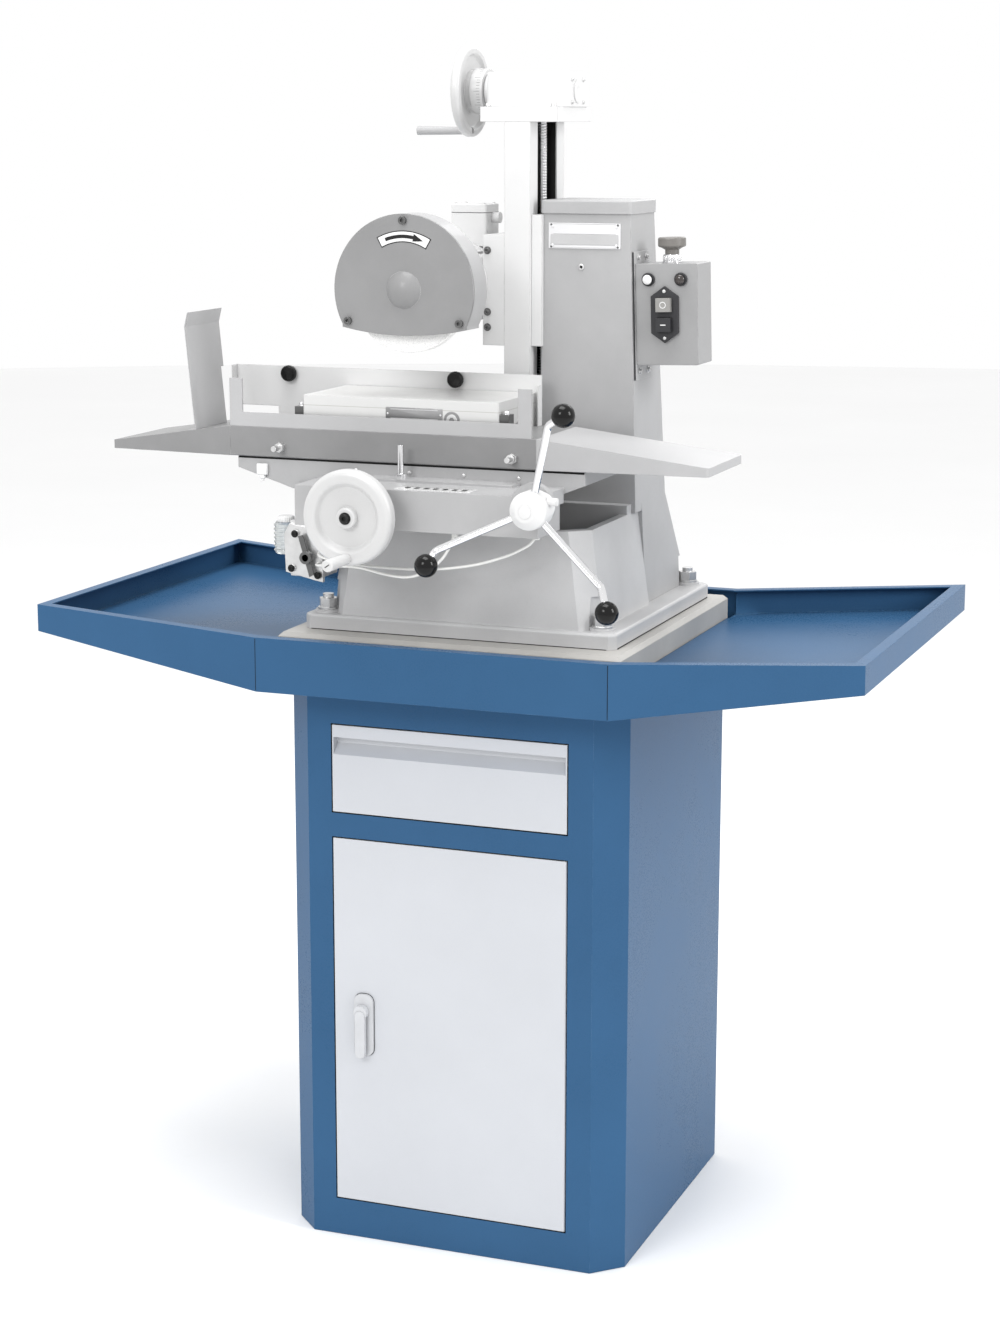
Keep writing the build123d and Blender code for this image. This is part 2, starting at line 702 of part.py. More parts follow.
reservoir_radius = 18.0
with BuildPart() as oil_reservoir:
    reservoir_x = pump_x[0] - reservoir_radius
    rod((reservoir_x, pump_face + 31, pump_top - 52), (0, 0, 1), 46.0, reservoir_radius)
    rod((reservoir_x, pump_face + 31, pump_top - 6), (0, 0, 1), 8.0, 12.0)
    rod((reservoir_x, pump_face + 31, pump_top - 30), (1, 0, 0), reservoir_radius, 6.0)
save(oil_reservoir, "oil_reservoir")

lever_gap = 0.3
with BuildPart() as pump_lever:
    lever_y = pump_face - 6 - lever_gap
    arm = [(-236, pump_shaft_z + 30), (-229, pump_shaft_z + 32), (-212, pump_shaft_z - 24),
           (-219, pump_shaft_z - 28)]
    plate_xz(arm, lever_y - 3, lever_y)
    rod((pump_shaft_x, lever_y, pump_shaft_z), (0, -1, 0), 8.0, 9.0)
save(pump_lever, "pump_lever")

# Two thin oil tubes from the pump to the underside of the apron, hanging in slack loops.
tube_radius = 2.0
lower_x = pump_x[1] - 2
tube_long = [(lower_x, pump_face, 1018), (lower_x + 10, -247, 1016), (-158, -262, 1012),
             (-104, -265, 1009), (-50, -263, 1008.5), (2, -261, 1012), (52, -258, 1021), (96, -254, 1036),
             (124, -251, 1052), (132, -250, apron_bottom - 4)]
tube_short = [(lower_x, pump_face, 1002), (lower_x + 6, -250, 1003), (-165, -272, 1008),
              (-122, -275, 1010), (-84, -274, 1001), (-48, -273, 998), (-16, -272, 1010), (8, -270, 1034),
              (20, -269, apron_bottom - 4)]


def corner_radii(points):
    """The largest arcs that the straight runs leave room for."""
    radii = []
    for a, b, c in zip(points, points[1:], points[2:]):
        first = Vector(*b) - Vector(*a)
        second = Vector(*c) - Vector(*b)
        turn = radians(first.get_angle(second))
        shorter = min(first.length, second.length)
        radii.append(0.45 * shorter * cos(turn / 2) / sin(turn / 2))
    return radii


with BuildPart() as oil_lines:
    for points in (tube_long, tube_short):
        radii = corner_radii(points)
        print("oil line arcs:", [round(r) for r in radii])
        with BuildLine() as route:
            FilletPolyline(*points, radius=radii)
        with BuildSketch(Plane(origin=route.line @ 0, z_dir=route.line % 0)):
            Circle(tube_radius)
        sweep(path=route.line)
        end_x, end_y, _ = points[-1]
        rod((end_x, end_y, apron_bottom - 9), (0, 0, 1), 9.0, 4.5)
save(oil_lines, "oil_lines")


# ---- handwheels ----------------------------------------------------------------------------------
def turned(origin, radial, along, profile):
    """Revolve a profile of (radius, distance along the axis, rounding) corners."""
    section = Plane(origin=origin, x_dir=radial, z_dir=Vector(*radial).cross(Vector(*along)))
    with BuildSketch(section) as outline:
        Polygon(*[(r, a) for r, a, _ in profile], align=None)
        for r, a, rounding in profile:
            if rounding:
                fillet(outline.vertices().sort_by_distance((r, a, 0))[0], rounding)
    revolve(outline.sketch, axis=Axis(origin, along))


grip_reach = cross_wheel_radius - 10
with BuildPart() as cross_handwheel:
    w = cross_wheel_width
    collar = apron_front - 0.5 - cross_wheel_face
    turned((cross_x, cross_wheel_face, cross_z), (1, 0, 0), (0, 1, 0),
           [(0, -2, 0), (14, -2, 2), (15, 8, 0), (42, 8, 4), (48, 0, 5), (cross_wheel_radius, 0, 9),
            (cross_wheel_radius, w, 6), (50, w, 4), (46, w - 6, 3), (28, w - 6, 2), (28, collar, 0),
            (0, collar, 0)])
    rod((cross_x, cross_wheel_face - 3, cross_z), (0, 1, 0), collar + 10, screw_radius, Mode.SUBTRACT)
    rod((cross_x, cross_wheel_face - 3, cross_z - grip_reach), (0, 1, 0), 20.0, 4.0, Mode.SUBTRACT)
save(cross_handwheel, "cross_handwheel")

with BuildPart() as cross_grip:
    cone_rod((cross_x, cross_wheel_face - 0.2, cross_z - grip_reach), (0, -1, 0), grip_length, 7.5, 8.5)
    fillet(cross_grip.edges().group_by(Axis.Y)[0], 2.5)
    rod((cross_x, cross_wheel_face - 0.2, cross_z - grip_reach), (0, 1, 0), 14.0, 4.0)
save(cross_grip, "cross_grip")

with BuildPart() as cross_screw:
    rod((cross_x, cross_wheel_face - 2, cross_z), (0, 1, 0), 316.0, screw_radius)
save(cross_screw, "cross_screw")

# Each spoke: (angle, radius) of its bend and (angle, radius) of its ball, seen from the front.
spoke_shapes = [((76.0, 118.0), (67.0, 142.0)), ((204.5, 146.0), (209.5, 159.0)),
                ((317.5, 140.0), (313.0, 172.0))]
bend_y = star_face - 1.0
ball_y = star_face - 18.0


def around_star(angle, radius, y):
    return Vector(star_x + radius * cos(radians(angle)), y, star_z + radius * sin(radians(angle)))


spoke_paths = []
for bend, ball in spoke_shapes:
    root = around_star(bend[0], 17.0, star_face + 12)
    spoke_paths.append((root, around_star(*bend, bend_y), around_star(*ball, ball_y)))

with BuildPart() as star_hub:
    hub_back = apron_front - 0.5
    turned((star_x, star_face, star_z), (1, 0, 0), (0, 1, 0),
           [(0, -12, 0), (14, -12, 4), (star_hub_radius, 0, 4), (star_hub_radius, 30, 3),
            (20, 34, 0), (20, hub_back - star_face, 0), (0, hub_back - star_face, 0)])
    shaft_start = star_face + 10
    rod((star_x, shaft_start, star_z), (0, 1, 0), apron_front + star_boss_depth - shaft_start,
        star_shaft_radius)
    rod((star_x + star_hub_radius - 4, star_face + 16, star_z + 12), (1, 0, 0), 14.0, 5.5)
    for root, bend, _ in spoke_paths:
        rod(root, bend - root, 30.0, spoke_radius, Mode.SUBTRACT)
save(star_hub, "star_hub")

with BuildPart() as star_spokes:
    for root, bend, ball in spoke_paths:
        stop = ball + (bend - ball).normalized() * (ball_radius - 6)
        with BuildLine() as route:
            FilletPolyline(root, bend, stop, radius=12)
        with BuildSketch(Plane(origin=root, z_dir=bend - root)):
            Circle(spoke_radius)
        sweep(path=route.line)
save(star_spokes, "star_spokes")

with BuildPart() as star_knobs:
    for _, bend, ball in spoke_paths:
        with Locations(ball):
            Sphere(ball_radius)
        entry = (bend - ball).normalized()
        rod(ball + entry * (ball_radius - 6), entry, 10.0, spoke_radius, Mode.SUBTRACT)
save(star_knobs, "star_knobs")


# ---- table ---------------------------------------------------------------------------------------
with BuildPart() as table:
    block((table_left, table_right), (table_front, table_back), (table_z, table_top))
    chamfer(table.edges().filter_by(Axis.X).group_by(Axis.Z)[0], 1.5)
    groove = vee_width / 2 + 0.4
    for y in (vee_middle - 50, vee_middle + 50):
        cut = [(y - groove - 1, table_z - 1), (y + groove + 1, table_z - 1),
               (y, table_z + vee_height + 0.6)]
        plate_yz(cut, table_left, table_right, Mode.SUBTRACT)
save(table, "table")


def shroud_points(root_x, tip_x, inset):
    """Side outline of a table end: a sheet roof that slopes to the tip, open below."""
    tip = tip_x - inset if tip_x > root_x else tip_x + inset
    return [(root_x, table_z - inset), (tip, table_z + 2 - inset),
            (tip, table_top - wing_tip_drop - inset), (root_x, table_top - inset)]


def make_shroud(root_x, tip_x):
    """A hollow sloping cover of the slideway beside the table."""
    plate_xz(shroud_points(root_x, tip_x, 0), table_front, table_back)
    upright = edges().filter_by(Axis.Z).sort_by(Axis.X)
    tip_edges = upright[-2:] if tip_x > root_x else upright[:2]
    fillet(tip_edges, wing_tip_corner)
    plate_xz(shroud_points(root_x, tip_x, sheet), table_front + sheet, table_back - sheet, Mode.SUBTRACT)


with BuildPart() as table_end_left:
    make_shroud(table_left, wing_left_tip)
save(table_end_left, "table_end_left")

with BuildPart() as table_end_right:
    make_shroud(table_right, wing_right_tip)
save(table_end_right, "table_end_right")

stop_stud_z = table_z + 15
with BuildPart() as stop_studs:
    for x in (-275.0, 79.0):
        hexagon_bar((x, table_front, stop_stud_z), (0, -1, 0), 7.0, 13.0)
        rod((x, table_front - 7, stop_stud_z), (0, -1, 0), 18.0, 4.0)
save(stop_studs, "stop_studs")

guard_left = table_left
guard_right = 106.0
rail_height = 20.0
upright_top = table_top + 68
upright_width = 20.0
with BuildPart() as front_guard:
    guard_y = (table_front, table_front + 2 * thin_sheet)
    block((guard_left, guard_right), guard_y, (table_top, table_top + rail_height))
    block((guard_left, guard_right), (table_front, chuck_front - 1), (table_top, table_top + thin_sheet))
    for x in (guard_left, guard_right - upright_width):
        block((x, x + upright_width), guard_y, (table_top, upright_top))
save(front_guard, "front_guard")

panel_left = -424.0
panel_right = 62.0
panel_y = (chuck_back + 1.5, chuck_back + 1.5 + thin_sheet)
with BuildPart() as back_guard:
    block((table_left, panel_right), panel_y, (table_top, back_panel_top))
    block((panel_left, table_left), panel_y, (table_top + 12, back_panel_top))
    block((panel_right - thin_sheet, panel_right), (panel_y[0] - 14, panel_y[1]),
          (table_top, back_panel_top - 14))
    block((panel_left, panel_left + thin_sheet), (panel_y[0] - 16, panel_y[1]),
          (table_top + 12, back_panel_top))
save(back_guard, "back_guard")

knob_radius = 12.0
knob_above_chuck = 14.5
with BuildPart() as guard_knobs:
    for x in (-335.0, -69.0):
        rod((x, panel_y[0], chuck_top + knob_above_chuck), (0, -1, 0), 12.0, knob_radius)
        fillet(guard_knobs.edges().group_by(Axis.Y)[0], 2)
save(guard_knobs, "guard_knobs")

with BuildPart() as magnetic_chuck:
    block((chuck_left, chuck_right), (chuck_front, chuck_back), (table_top, chuck_top))
    chamfer(magnetic_chuck.edges().filter_by(Axis.Z), 1.5)
    key_x = chuck_left + 228
    key_z = table_top + 20
    rod((key_x, chuck_front - 1, key_z), (0, 1, 0), 31.0, key_radius + running_gap, Mode.SUBTRACT)
    for x in (chuck_left, chuck_right):
        block((x - 8, x + 8), (chuck_front + 60, chuck_front + 90),
              (table_top - 1, table_top + 12), Mode.SUBTRACT)
save(magnetic_chuck, "magnetic_chuck")

clamp_size = 14.0
with BuildPart() as chuck_clamps:
    for x in ((chuck_left - clamp_size, chuck_left), (chuck_right, chuck_right + clamp_size)):
        block(x, (chuck_front + 2, chuck_front + 22), (table_top + thin_sheet, table_top + 30))
save(chuck_clamps, "chuck_clamps")

with BuildPart() as chuck_key:
    rod((key_x, chuck_front + 30, key_z), (0, -1, 0), 31.0, key_radius)
    with BuildSketch(Plane.XZ.offset(-(chuck_front - 2))):
        with Locations((key_x, key_z)):
            RegularPolygon(4.0, 6)
    extrude(amount=-12, mode=Mode.SUBTRACT)
save(chuck_key, "chuck_key")

deflector_x = table_left - 55.0
deflector_lean = 14.0
deflector_front = table_front
deflector_back = table_front + 107.0
with BuildPart() as spark_guard:
    roof = wing_tip_drop / (table_left - wing_left_tip)
    foot_z_left = table_top - roof * (table_left - deflector_x + 12)
    foot_z_right = table_top - roof * (table_left - deflector_x)
    t = thin_sheet
    bend_z = table_top + 139
    side = [(deflector_x - 12, foot_z_left), (deflector_x, foot_z_right),
            (deflector_x - deflector_lean, bend_z), (deflector_x - deflector_lean + 5, bend_z + 20),
            (deflector_x - deflector_lean + 5 - t, bend_z + 20),
            (deflector_x - deflector_lean - t, bend_z),
            (deflector_x - t - 0.3, foot_z_right + t), (deflector_x - 12, foot_z_left + t)]
    plate_xz(side, deflector_front, deflector_back)
    block((deflector_x - 30, deflector_x + 1), (deflector_back - 8, deflector_back + 1),
          (table_top - 20, back_panel_top + 2), Mode.SUBTRACT)
save(spark_guard, "spark_guard")


# ---- grinding head on the vertical slide ---------------------------------------------------------
with BuildPart() as vertical_slide:
    block((slide_left, slide_left + slide_web), (slide_front, slide_back), (slide_bottom, slide_top))
    for rail in ((slide_front, recess_front), (recess_back, slide_back)):
        block((slide_left, slide_right), rail, (slide_bottom, slide_top))
    block((slide_left, slide_right), (slide_front, slide_back), (slide_bottom, slide_bottom + 6))
    rod((screw_x, screw_y, slide_bottom - 1), (0, 0, 1), 8.0, 5.0 + running_gap, Mode.SUBTRACT)
save(vertical_slide, "vertical_slide")

with BuildPart() as gear_case:
    case_y = (slide_front + 24, slide_back - 20)
    block((gear_case_left, gear_case_right), case_y, (gear_case_z, gear_case_z + gear_case_height))
    fillet(gear_case.edges().filter_by(Axis.Z), 5)
    fillet(gear_case.edges().group_by(Axis.Z)[-1], 3)
    block((gear_case_left, gear_case_right - 3), (slide_front, slide_back), (slide_top, gear_case_z))
    rod((gear_case_left, crank_y, crank_z), (-1, 0, 0), 14.0, 26.0)
    rod((gear_case_right + 1, crank_y, crank_z), (-1, 0, 0), gear_case_right - gear_case_left + 20,
        10.0 + running_gap, Mode.SUBTRACT)
    block((screw_x - 20, screw_x + 20), (screw_y - 20, screw_y + 20), (gear_case_z - 3, gear_case_z + 44),
          Mode.SUBTRACT)
    rod((screw_x, screw_y, slide_top - 1), (0, 0, 1), 24.0, screw_radius + running_gap, Mode.SUBTRACT)
save(gear_case, "gear_case")

with BuildPart() as elevation_screw:
    rod((screw_x, screw_y, slide_bottom), (0, 0, 1), 6.0 + 0.3, 5.0)
    rod((screw_x, screw_y, slide_bottom + 6.3), (0, 0, 1), slide_top - slide_bottom + 4, screw_radius)
save(elevation_screw, "elevation_screw")

crank_offset = 56.0
with BuildPart() as elevation_handwheel:
    w = elevation_wheel_width
    reach = gear_case_left - 14.0 - 0.5 - elevation_wheel_x
    turned((elevation_wheel_x, crank_y, crank_z), (0, 1, 0), (1, 0, 0),
           [(0, -1, 0), (12, -1, 2), (12, 4, 0), (50, 4, 2), (54, 0, 2), (elevation_wheel_radius, 0, 5),
            (elevation_wheel_radius, w, 5), (54, w, 2), (50, 9, 2), (30, 9, 0), (30, w + 2, 0),
            (33, w + 4, 1), (33, reach, 1), (0, reach, 0)])
    rod((elevation_wheel_x - 2, crank_y, crank_z), (1, 0, 0), 96.0, 10.0)
    rod((elevation_wheel_x - 3, crank_y - 8, crank_z - crank_offset), (1, 0, 0), 30.0, 4.0, Mode.SUBTRACT)
save(elevation_handwheel, "elevation_handwheel")

with BuildPart() as elevation_grip:
    crank_start = (elevation_wheel_x - 0.2, crank_y - 8, crank_z - crank_offset)
    cone_rod(crank_start, (-1, 0, 0), 72.0, 5.5, 6.5)
    rod(crank_start, (1, 0, 0), 12.0, 4.0)
save(elevation_grip, "elevation_grip")

guard_back = guard_front + guard_depth
motor_arm_x = (spindle_x + 50, slide_left)
motor_arm_y = (slide_front, slide_front + 114)
motor_arm_z = (slide_bottom + 60, slide_bottom + 218)
with BuildPart() as spindle_motor:
    rod((spindle_x, guard_back, spindle_z), (0, 1, 0), motor_length, motor_radius)
    fillet(spindle_motor.edges().group_by(Axis.Y)[-1], 6)
    block(motor_arm_x, motor_arm_y, motor_arm_z)
    rod((spindle_x, guard_back - 1, spindle_z), (0, 1, 0), 81.0, arbor_radius + running_gap, Mode.SUBTRACT)
save(spindle_motor, "spindle_motor")

terminal_x = (-107.0, -51.0)
terminal_z = (spindle_z + motor_radius - 6, spindle_z + motor_radius + 55)
with BuildPart() as terminal_box:
    block(terminal_x, (34, 86), terminal_z)
    fillet(terminal_box.edges().filter_by(Axis.Z), 4)
    fillet(terminal_box.edges().group_by(Axis.Z)[-1], 2)
    rod((terminal_x[1], 60, terminal_z[1] - 20), (1, 0, 0), 12.0, 8.0)
    rod((spindle_x, guard_back - 1, spindle_z), (0, 1, 0), motor_length + 2, motor_radius, Mode.SUBTRACT)
    block(motor_arm_x, motor_arm_y, motor_arm_z, Mode.SUBTRACT)
save(terminal_box, "terminal_box")


def guard_outline(inset):
    """The wheel guard's front outline: a big arc above a slightly bowed lower edge."""
    r = guard_radius - inset
    x = guard_corner_x - inset
    z = guard_corner_z + inset
    side_z = -(r ** 2 - x ** 2) ** 0.5
    with BuildLine() as border:
        ThreePointArc((x, side_z), (0, r), (-x, side_z))
        Line((-x, side_z), (-x, z))
        ThreePointArc((-x, z), (0, z - guard_sag), (x, z))
        Line((x, z), (x, side_z))
    make_face(border.line.edges())


guard_plane = Plane(origin=(spindle_x, guard_back, spindle_z), x_dir=(1, 0, 0), z_dir=(0, -1, 0))
guard_screw_places = [(0, guard_radius - 9), (-84, -44), (84, -44)]
with BuildPart() as wheel_guard:
    with BuildSketch(guard_plane):
        guard_outline(0)
    extrude(amount=guard_depth - guard_sheet)
    with BuildSketch(guard_plane.offset(guard_sheet)):
        guard_outline(guard_sheet)
    extrude(amount=guard_depth, mode=Mode.SUBTRACT)
    slot = guard_corner_z - guard_sag - 2
    block((spindle_x - 76, spindle_x + 76), (guard_front + guard_sheet, guard_back - guard_sheet),
          (spindle_z + slot - 10, spindle_z + slot + 16), Mode.SUBTRACT)
    for x, z in guard_screw_places:
        rod((spindle_x + x, guard_back - guard_sheet, spindle_z + z), (0, -1, 0),
            guard_depth - 2 * guard_sheet, 6.5)
        rod((spindle_x + x, guard_front, spindle_z + z), (0, 1, 0), 16.0, 3.0, Mode.SUBTRACT)
    rod((spindle_x, guard_back + 1, spindle_z), (0, -1, 0), 10.0, 30.0, Mode.SUBTRACT)
save(wheel_guard, "wheel_guard")

with BuildPart() as guard_cover:
    with BuildSketch(guard_plane.offset(guard_depth - guard_sheet)):
        guard_outline(0)
    extrude(amount=guard_sheet)
    with Locations((spindle_x, guard_front + 22, spindle_z)):
        Sphere(34)
    block((spindle_x - 60, spindle_x + 60), (guard_front + guard_sheet, guard_front + 80),
          (spindle_z - 60, spindle_z + 60), Mode.SUBTRACT)
    for x, z in guard_screw_places:
        rod((spindle_x + x, guard_front - 1, spindle_z + z), (0, 1, 0), 8.0, 3.0, Mode.SUBTRACT)
save(guard_cover, "guard_cover")

with BuildPart() as cover_screws:
    for x, z in guard_screw_places:
        place = (spindle_x + x, guard_front, spindle_z + z)
        rod(place, (0, -1, 0), 5.0, 5.5)
        rod(place, (0, 1, 0), 14.0, 3.0)
        with BuildSketch(Plane(origin=(place[0], guard_front - 5, place[2]), z_dir=(0, 1, 0))):
            RegularPolygon(2.9, 6)
        extrude(amount=3.5, mode=Mode.SUBTRACT)
save(cover_screws, "cover_screws")

wheel_y = (guard_front + 17, guard_front + 17 + wheel_width)
flange_radius = 34.0
with BuildPart() as grinding_wheel:
    rod((spindle_x, wheel_y[0], spindle_z), (0, 1, 0), wheel_width, wheel_radius)
    chamfer(grinding_wheel.edges(), 1.2)
    rod((spindle_x, wheel_y[0] - 1, spindle_z), (0, 1, 0), wheel_width + 2, 16.0, Mode.SUBTRACT)
save(grinding_wheel, "grinding_wheel")

with BuildPart() as wheel_arbor:
    rod((spindle_x, wheel_y[0] - 8, spindle_z), (0, 1, 0), 86.0, arbor_radius)
    rod((spindle_x, wheel_y[0], spindle_z), (0, 1, 0), wheel_width, 16.0)
    for y in (wheel_y[0] - 5, wheel_y[1]):
        rod((spindle_x, y, spindle_z), (0, 1, 0), 5.0, flange_radius)
save(wheel_arbor, "wheel_arbor")
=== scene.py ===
import json
from math import cos, pi, radians, sin

import bmesh
import bpy
from mathutils import Matrix, Vector


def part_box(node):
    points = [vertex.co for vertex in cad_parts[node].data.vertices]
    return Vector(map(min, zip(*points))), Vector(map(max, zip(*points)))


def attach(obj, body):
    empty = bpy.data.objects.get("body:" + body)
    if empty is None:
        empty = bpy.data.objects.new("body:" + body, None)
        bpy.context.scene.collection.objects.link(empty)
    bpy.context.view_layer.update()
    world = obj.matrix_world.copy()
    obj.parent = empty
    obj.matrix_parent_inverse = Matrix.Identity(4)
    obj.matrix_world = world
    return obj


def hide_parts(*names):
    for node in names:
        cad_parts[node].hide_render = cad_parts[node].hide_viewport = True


# Looks of the surface grinder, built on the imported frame. Metres; +X right, +Y to the back, +Z up.
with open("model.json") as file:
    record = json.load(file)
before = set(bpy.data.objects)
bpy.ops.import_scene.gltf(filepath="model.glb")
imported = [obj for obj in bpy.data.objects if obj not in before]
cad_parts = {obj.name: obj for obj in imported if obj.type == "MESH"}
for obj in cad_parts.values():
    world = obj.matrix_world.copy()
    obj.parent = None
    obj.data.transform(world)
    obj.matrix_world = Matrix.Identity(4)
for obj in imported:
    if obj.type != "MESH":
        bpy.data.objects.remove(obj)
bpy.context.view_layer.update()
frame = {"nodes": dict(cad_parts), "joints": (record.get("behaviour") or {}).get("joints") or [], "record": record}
nodes = frame["nodes"]
joint_at = {j["name"]: Vector(j["pos_m"]) for j in frame["joints"] if "pos_m" in j}

MM = 0.001
LEFT, RIGHT = Vector((-1, 0, 0)), Vector((1, 0, 0))
FRONT, BACK = Vector((0, -1, 0)), Vector((0, 1, 0))
DOWN, UP = Vector((0, 0, -1)), Vector((0, 0, 1))


# ---- shader helpers ------------------------------------------------------------------------------
def add(tree, kind, inputs=None, **settings):
    """A shader node; an input is a number, a colour or another node's output."""
    made = tree.nodes.new(kind)
    for key, value in settings.items():
        setattr(made, key, value)
    for key, value in (inputs or {}).items():
        if isinstance(value, bpy.types.NodeSocket):
            tree.links.new(value, made.inputs[key])
        else:
            made.inputs[key].default_value = value
    return made


def noise(tree, place, scale, detail=3.0):
    inputs = {"Vector": place, "Scale": scale, "Detail": detail, "Roughness": 0.6}
    return add(tree, "ShaderNodeTexNoise", inputs).outputs["Fac"]


def remap(tree, value, low, high, to_low, to_high):
    inputs = {"Value": value, "From Min": low, "From Max": high, "To Min": to_low, "To Max": to_high}
    return add(tree, "ShaderNodeMapRange", inputs).outputs["Result"]


def mix(tree, share, first, second):
    """Blend of two colours, each a socket or red, green and blue."""
    made = add(tree, "ShaderNodeMix", {0: share}, data_type="RGBA")
    for key, colour in ((6, first), (7, second)):
        if isinstance(colour, bpy.types.NodeSocket):
            tree.links.new(colour, made.inputs[key])
        else:
            made.inputs[key].default_value = (*colour, 1)
    return made.outputs[2]


def arithmetic(tree, operation, first, second=0.0):
    return add(tree, "ShaderNodeMath", {0: first, 1: second}, operation=operation).outputs[0]


def edge_mask(tree, size):
    """1 along the edges of a piece and 0 on its flats, and the rounded normal."""
    bevel = add(tree, "ShaderNodeBevel", {"Radius": size}, samples=4).outputs["Normal"]
    normal = add(tree, "ShaderNodeNewGeometry").outputs["Normal"]
    dot = add(tree, "ShaderNodeVectorMath", {0: bevel, 1: normal}, operation="DOT_PRODUCT")
    return remap(tree, dot.outputs["Value"], 0.985, 0.86, 0.0, 1.0), bevel


def scaled(colour, factor):
    return [min(1.0, c * factor) for c in colour]


def surface(name, colour, rough=(0.35, 0.5), metallic=0.0, coat=0.0, tint=0.06, cloud=5.0, grain=900.0,
            bump=0.12, stretch=(1, 1, 1), wear=None, edge=0.9 * MM, shine=0.5, colour_from=None,
            height_from=None):
    """A material with cloudy colour, grain, worn edges and uneven gloss. stretch draws the grain out."""
    material = bpy.data.materials.new(name)
    material.use_nodes = True
    tree = material.node_tree
    shader = tree.nodes["Principled BSDF"]
    place = add(tree, "ShaderNodeTexCoord").outputs["Object"]
    drawn = add(tree, "ShaderNodeMapping", {"Vector": place, "Scale": stretch}).outputs["Vector"]
    clouds = noise(tree, place, cloud, 5.0)
    fine = noise(tree, drawn, grain, 2.0)
    if colour_from:
        colour = colour_from(tree, place)
        shade = mix(tree, remap(tree, clouds, 0.3, 0.7, 0.0, tint * 2), colour, (0.2, 0.2, 0.2))
    else:
        shade = mix(tree, remap(tree, clouds, 0.3, 0.7, 0.0, 1.0),
                    scaled(colour, 1 - tint), scaled(colour, 1 + tint))
        speck = remap(tree, fine, 0.60, 0.75, 0.0, tint * 3)
        shade = mix(tree, speck, shade, scaled(colour, 0.6))
    mask, rounded = edge_mask(tree, edge)
    if wear:
        patches = remap(tree, noise(tree, place, 45.0), 0.42, 0.62, 0.0, 0.8)
        chipped = arithmetic(tree, "MULTIPLY", mask, patches)
        shade = mix(tree, chipped, shade, wear)
    tree.links.new(shade, shader.inputs["Base Color"])
    smears = arithmetic(tree, "ADD", arithmetic(tree, "MULTIPLY", clouds, 0.6),
                        arithmetic(tree, "MULTIPLY", fine, 0.4))
    tree.links.new(remap(tree, smears, 0.3, 0.7, *rough), shader.inputs["Roughness"])
    height = fine
    if height_from:
        height = arithmetic(tree, "ADD", height_from(tree, place), arithmetic(tree, "MULTIPLY", fine, 0.2))
    inputs = {"Height": height, "Strength": bump, "Distance": 0.3 * MM, "Normal": rounded}
    tree.links.new(add(tree, "ShaderNodeBump", inputs).outputs["Normal"], shader.inputs["Normal"])
    shader.inputs["Metallic"].default_value = metallic
    shader.inputs["Specular IOR Level"].default_value = shine
    shader.inputs["Coat Weight"].default_value = coat
    shader.inputs["Coat Roughness"].default_value = 0.08
    return material


# ---- materials -----------------------------------------------------------------------------------
def blue_sheet():
    """Gloss powder coat on sheet steel, with its faint orange peel."""
    def peel(tree, place):
        return noise(tree, place, 160.0, 1.0)
    material = surface("blue_paint", (0.034, 0.097, 0.198), (0.24, 0.34), tint=0.07, cloud=3.0,
                       grain=420.0, bump=0.05, wear=(0.11, 0.22, 0.36), edge=1.2 * MM, shine=0.3,
                       height_from=peel)
    material.node_tree.nodes["Principled BSDF"].inputs["IOR"].default_value = 1.2
    return material


def pole_bands(tree, place):
    """Thin pole strips across the chuck's top and a seam round it, as 0 for steel and 1 for the gaps."""
    low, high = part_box("magnetic_chuck")
    pole_pitch = 4.5 * MM
    end_margin = 10 * MM
    seam_level = high.z - 14 * MM
    parts = add(tree, "ShaderNodeSeparateXYZ", {0: place}).outputs
    wave = arithmetic(tree, "SINE", arithmetic(tree, "MULTIPLY", parts["X"], 2 * pi / pole_pitch))
    strips = remap(tree, wave, 0.72, 0.90, 0.0, 1.0)
    top_face = arithmetic(tree, "GREATER_THAN", parts["Z"], high.z - 0.3 * MM)
    from_middle = arithmetic(tree, "SUBTRACT", parts["X"], (low.x + high.x) / 2)
    inner = arithmetic(tree, "LESS_THAN", arithmetic(tree, "ABSOLUTE", from_middle),
                       (high.x - low.x) / 2 - end_margin)
    gap = arithmetic(tree, "ABSOLUTE", arithmetic(tree, "SUBTRACT", parts["Z"], seam_level))
    seam = remap(tree, gap, 0.3 * MM, 0.6 * MM, 1.0, 0.0)
    strips = arithmetic(tree, "MULTIPLY", arithmetic(tree, "MULTIPLY", strips, top_face), inner)
    return arithmetic(tree, "MAXIMUM", strips, seam)


def chuck_steel():
    def colours(tree, place):
        return mix(tree, pole_bands(tree, place), (0.66, 0.66, 0.655), (0.47, 0.465, 0.44))

    def dips(tree, place):
        return arithmetic(tree, "MULTIPLY", pole_bands(tree, place), -1.0)
    return surface("chuck_steel", None, (0.30, 0.45), metallic=0.35, tint=0.05, cloud=9.0, grain=300.0,
                   bump=0.15, stretch=(1, 14, 1), colour_from=colours, height_from=dips)


def wheel_grit():
    """Bonded aluminium oxide: pale grains with dark pores."""
    def grains(tree, place):
        inputs = {"Vector": place, "Scale": 900.0}
        return add(tree, "ShaderNodeTexVoronoi", inputs).outputs["Distance"]

    def colours(tree, place):
        pores = remap(tree, grains(tree, place), 0.45, 0.8, 0.0, 1.0)
        return mix(tree, pores, (0.93, 0.93, 0.92), (0.70, 0.70, 0.70))
    return surface("abrasive", None, (0.75, 0.95), tint=0.02, cloud=20.0, grain=1500.0, bump=0.6,
                   colour_from=colours, height_from=grains)


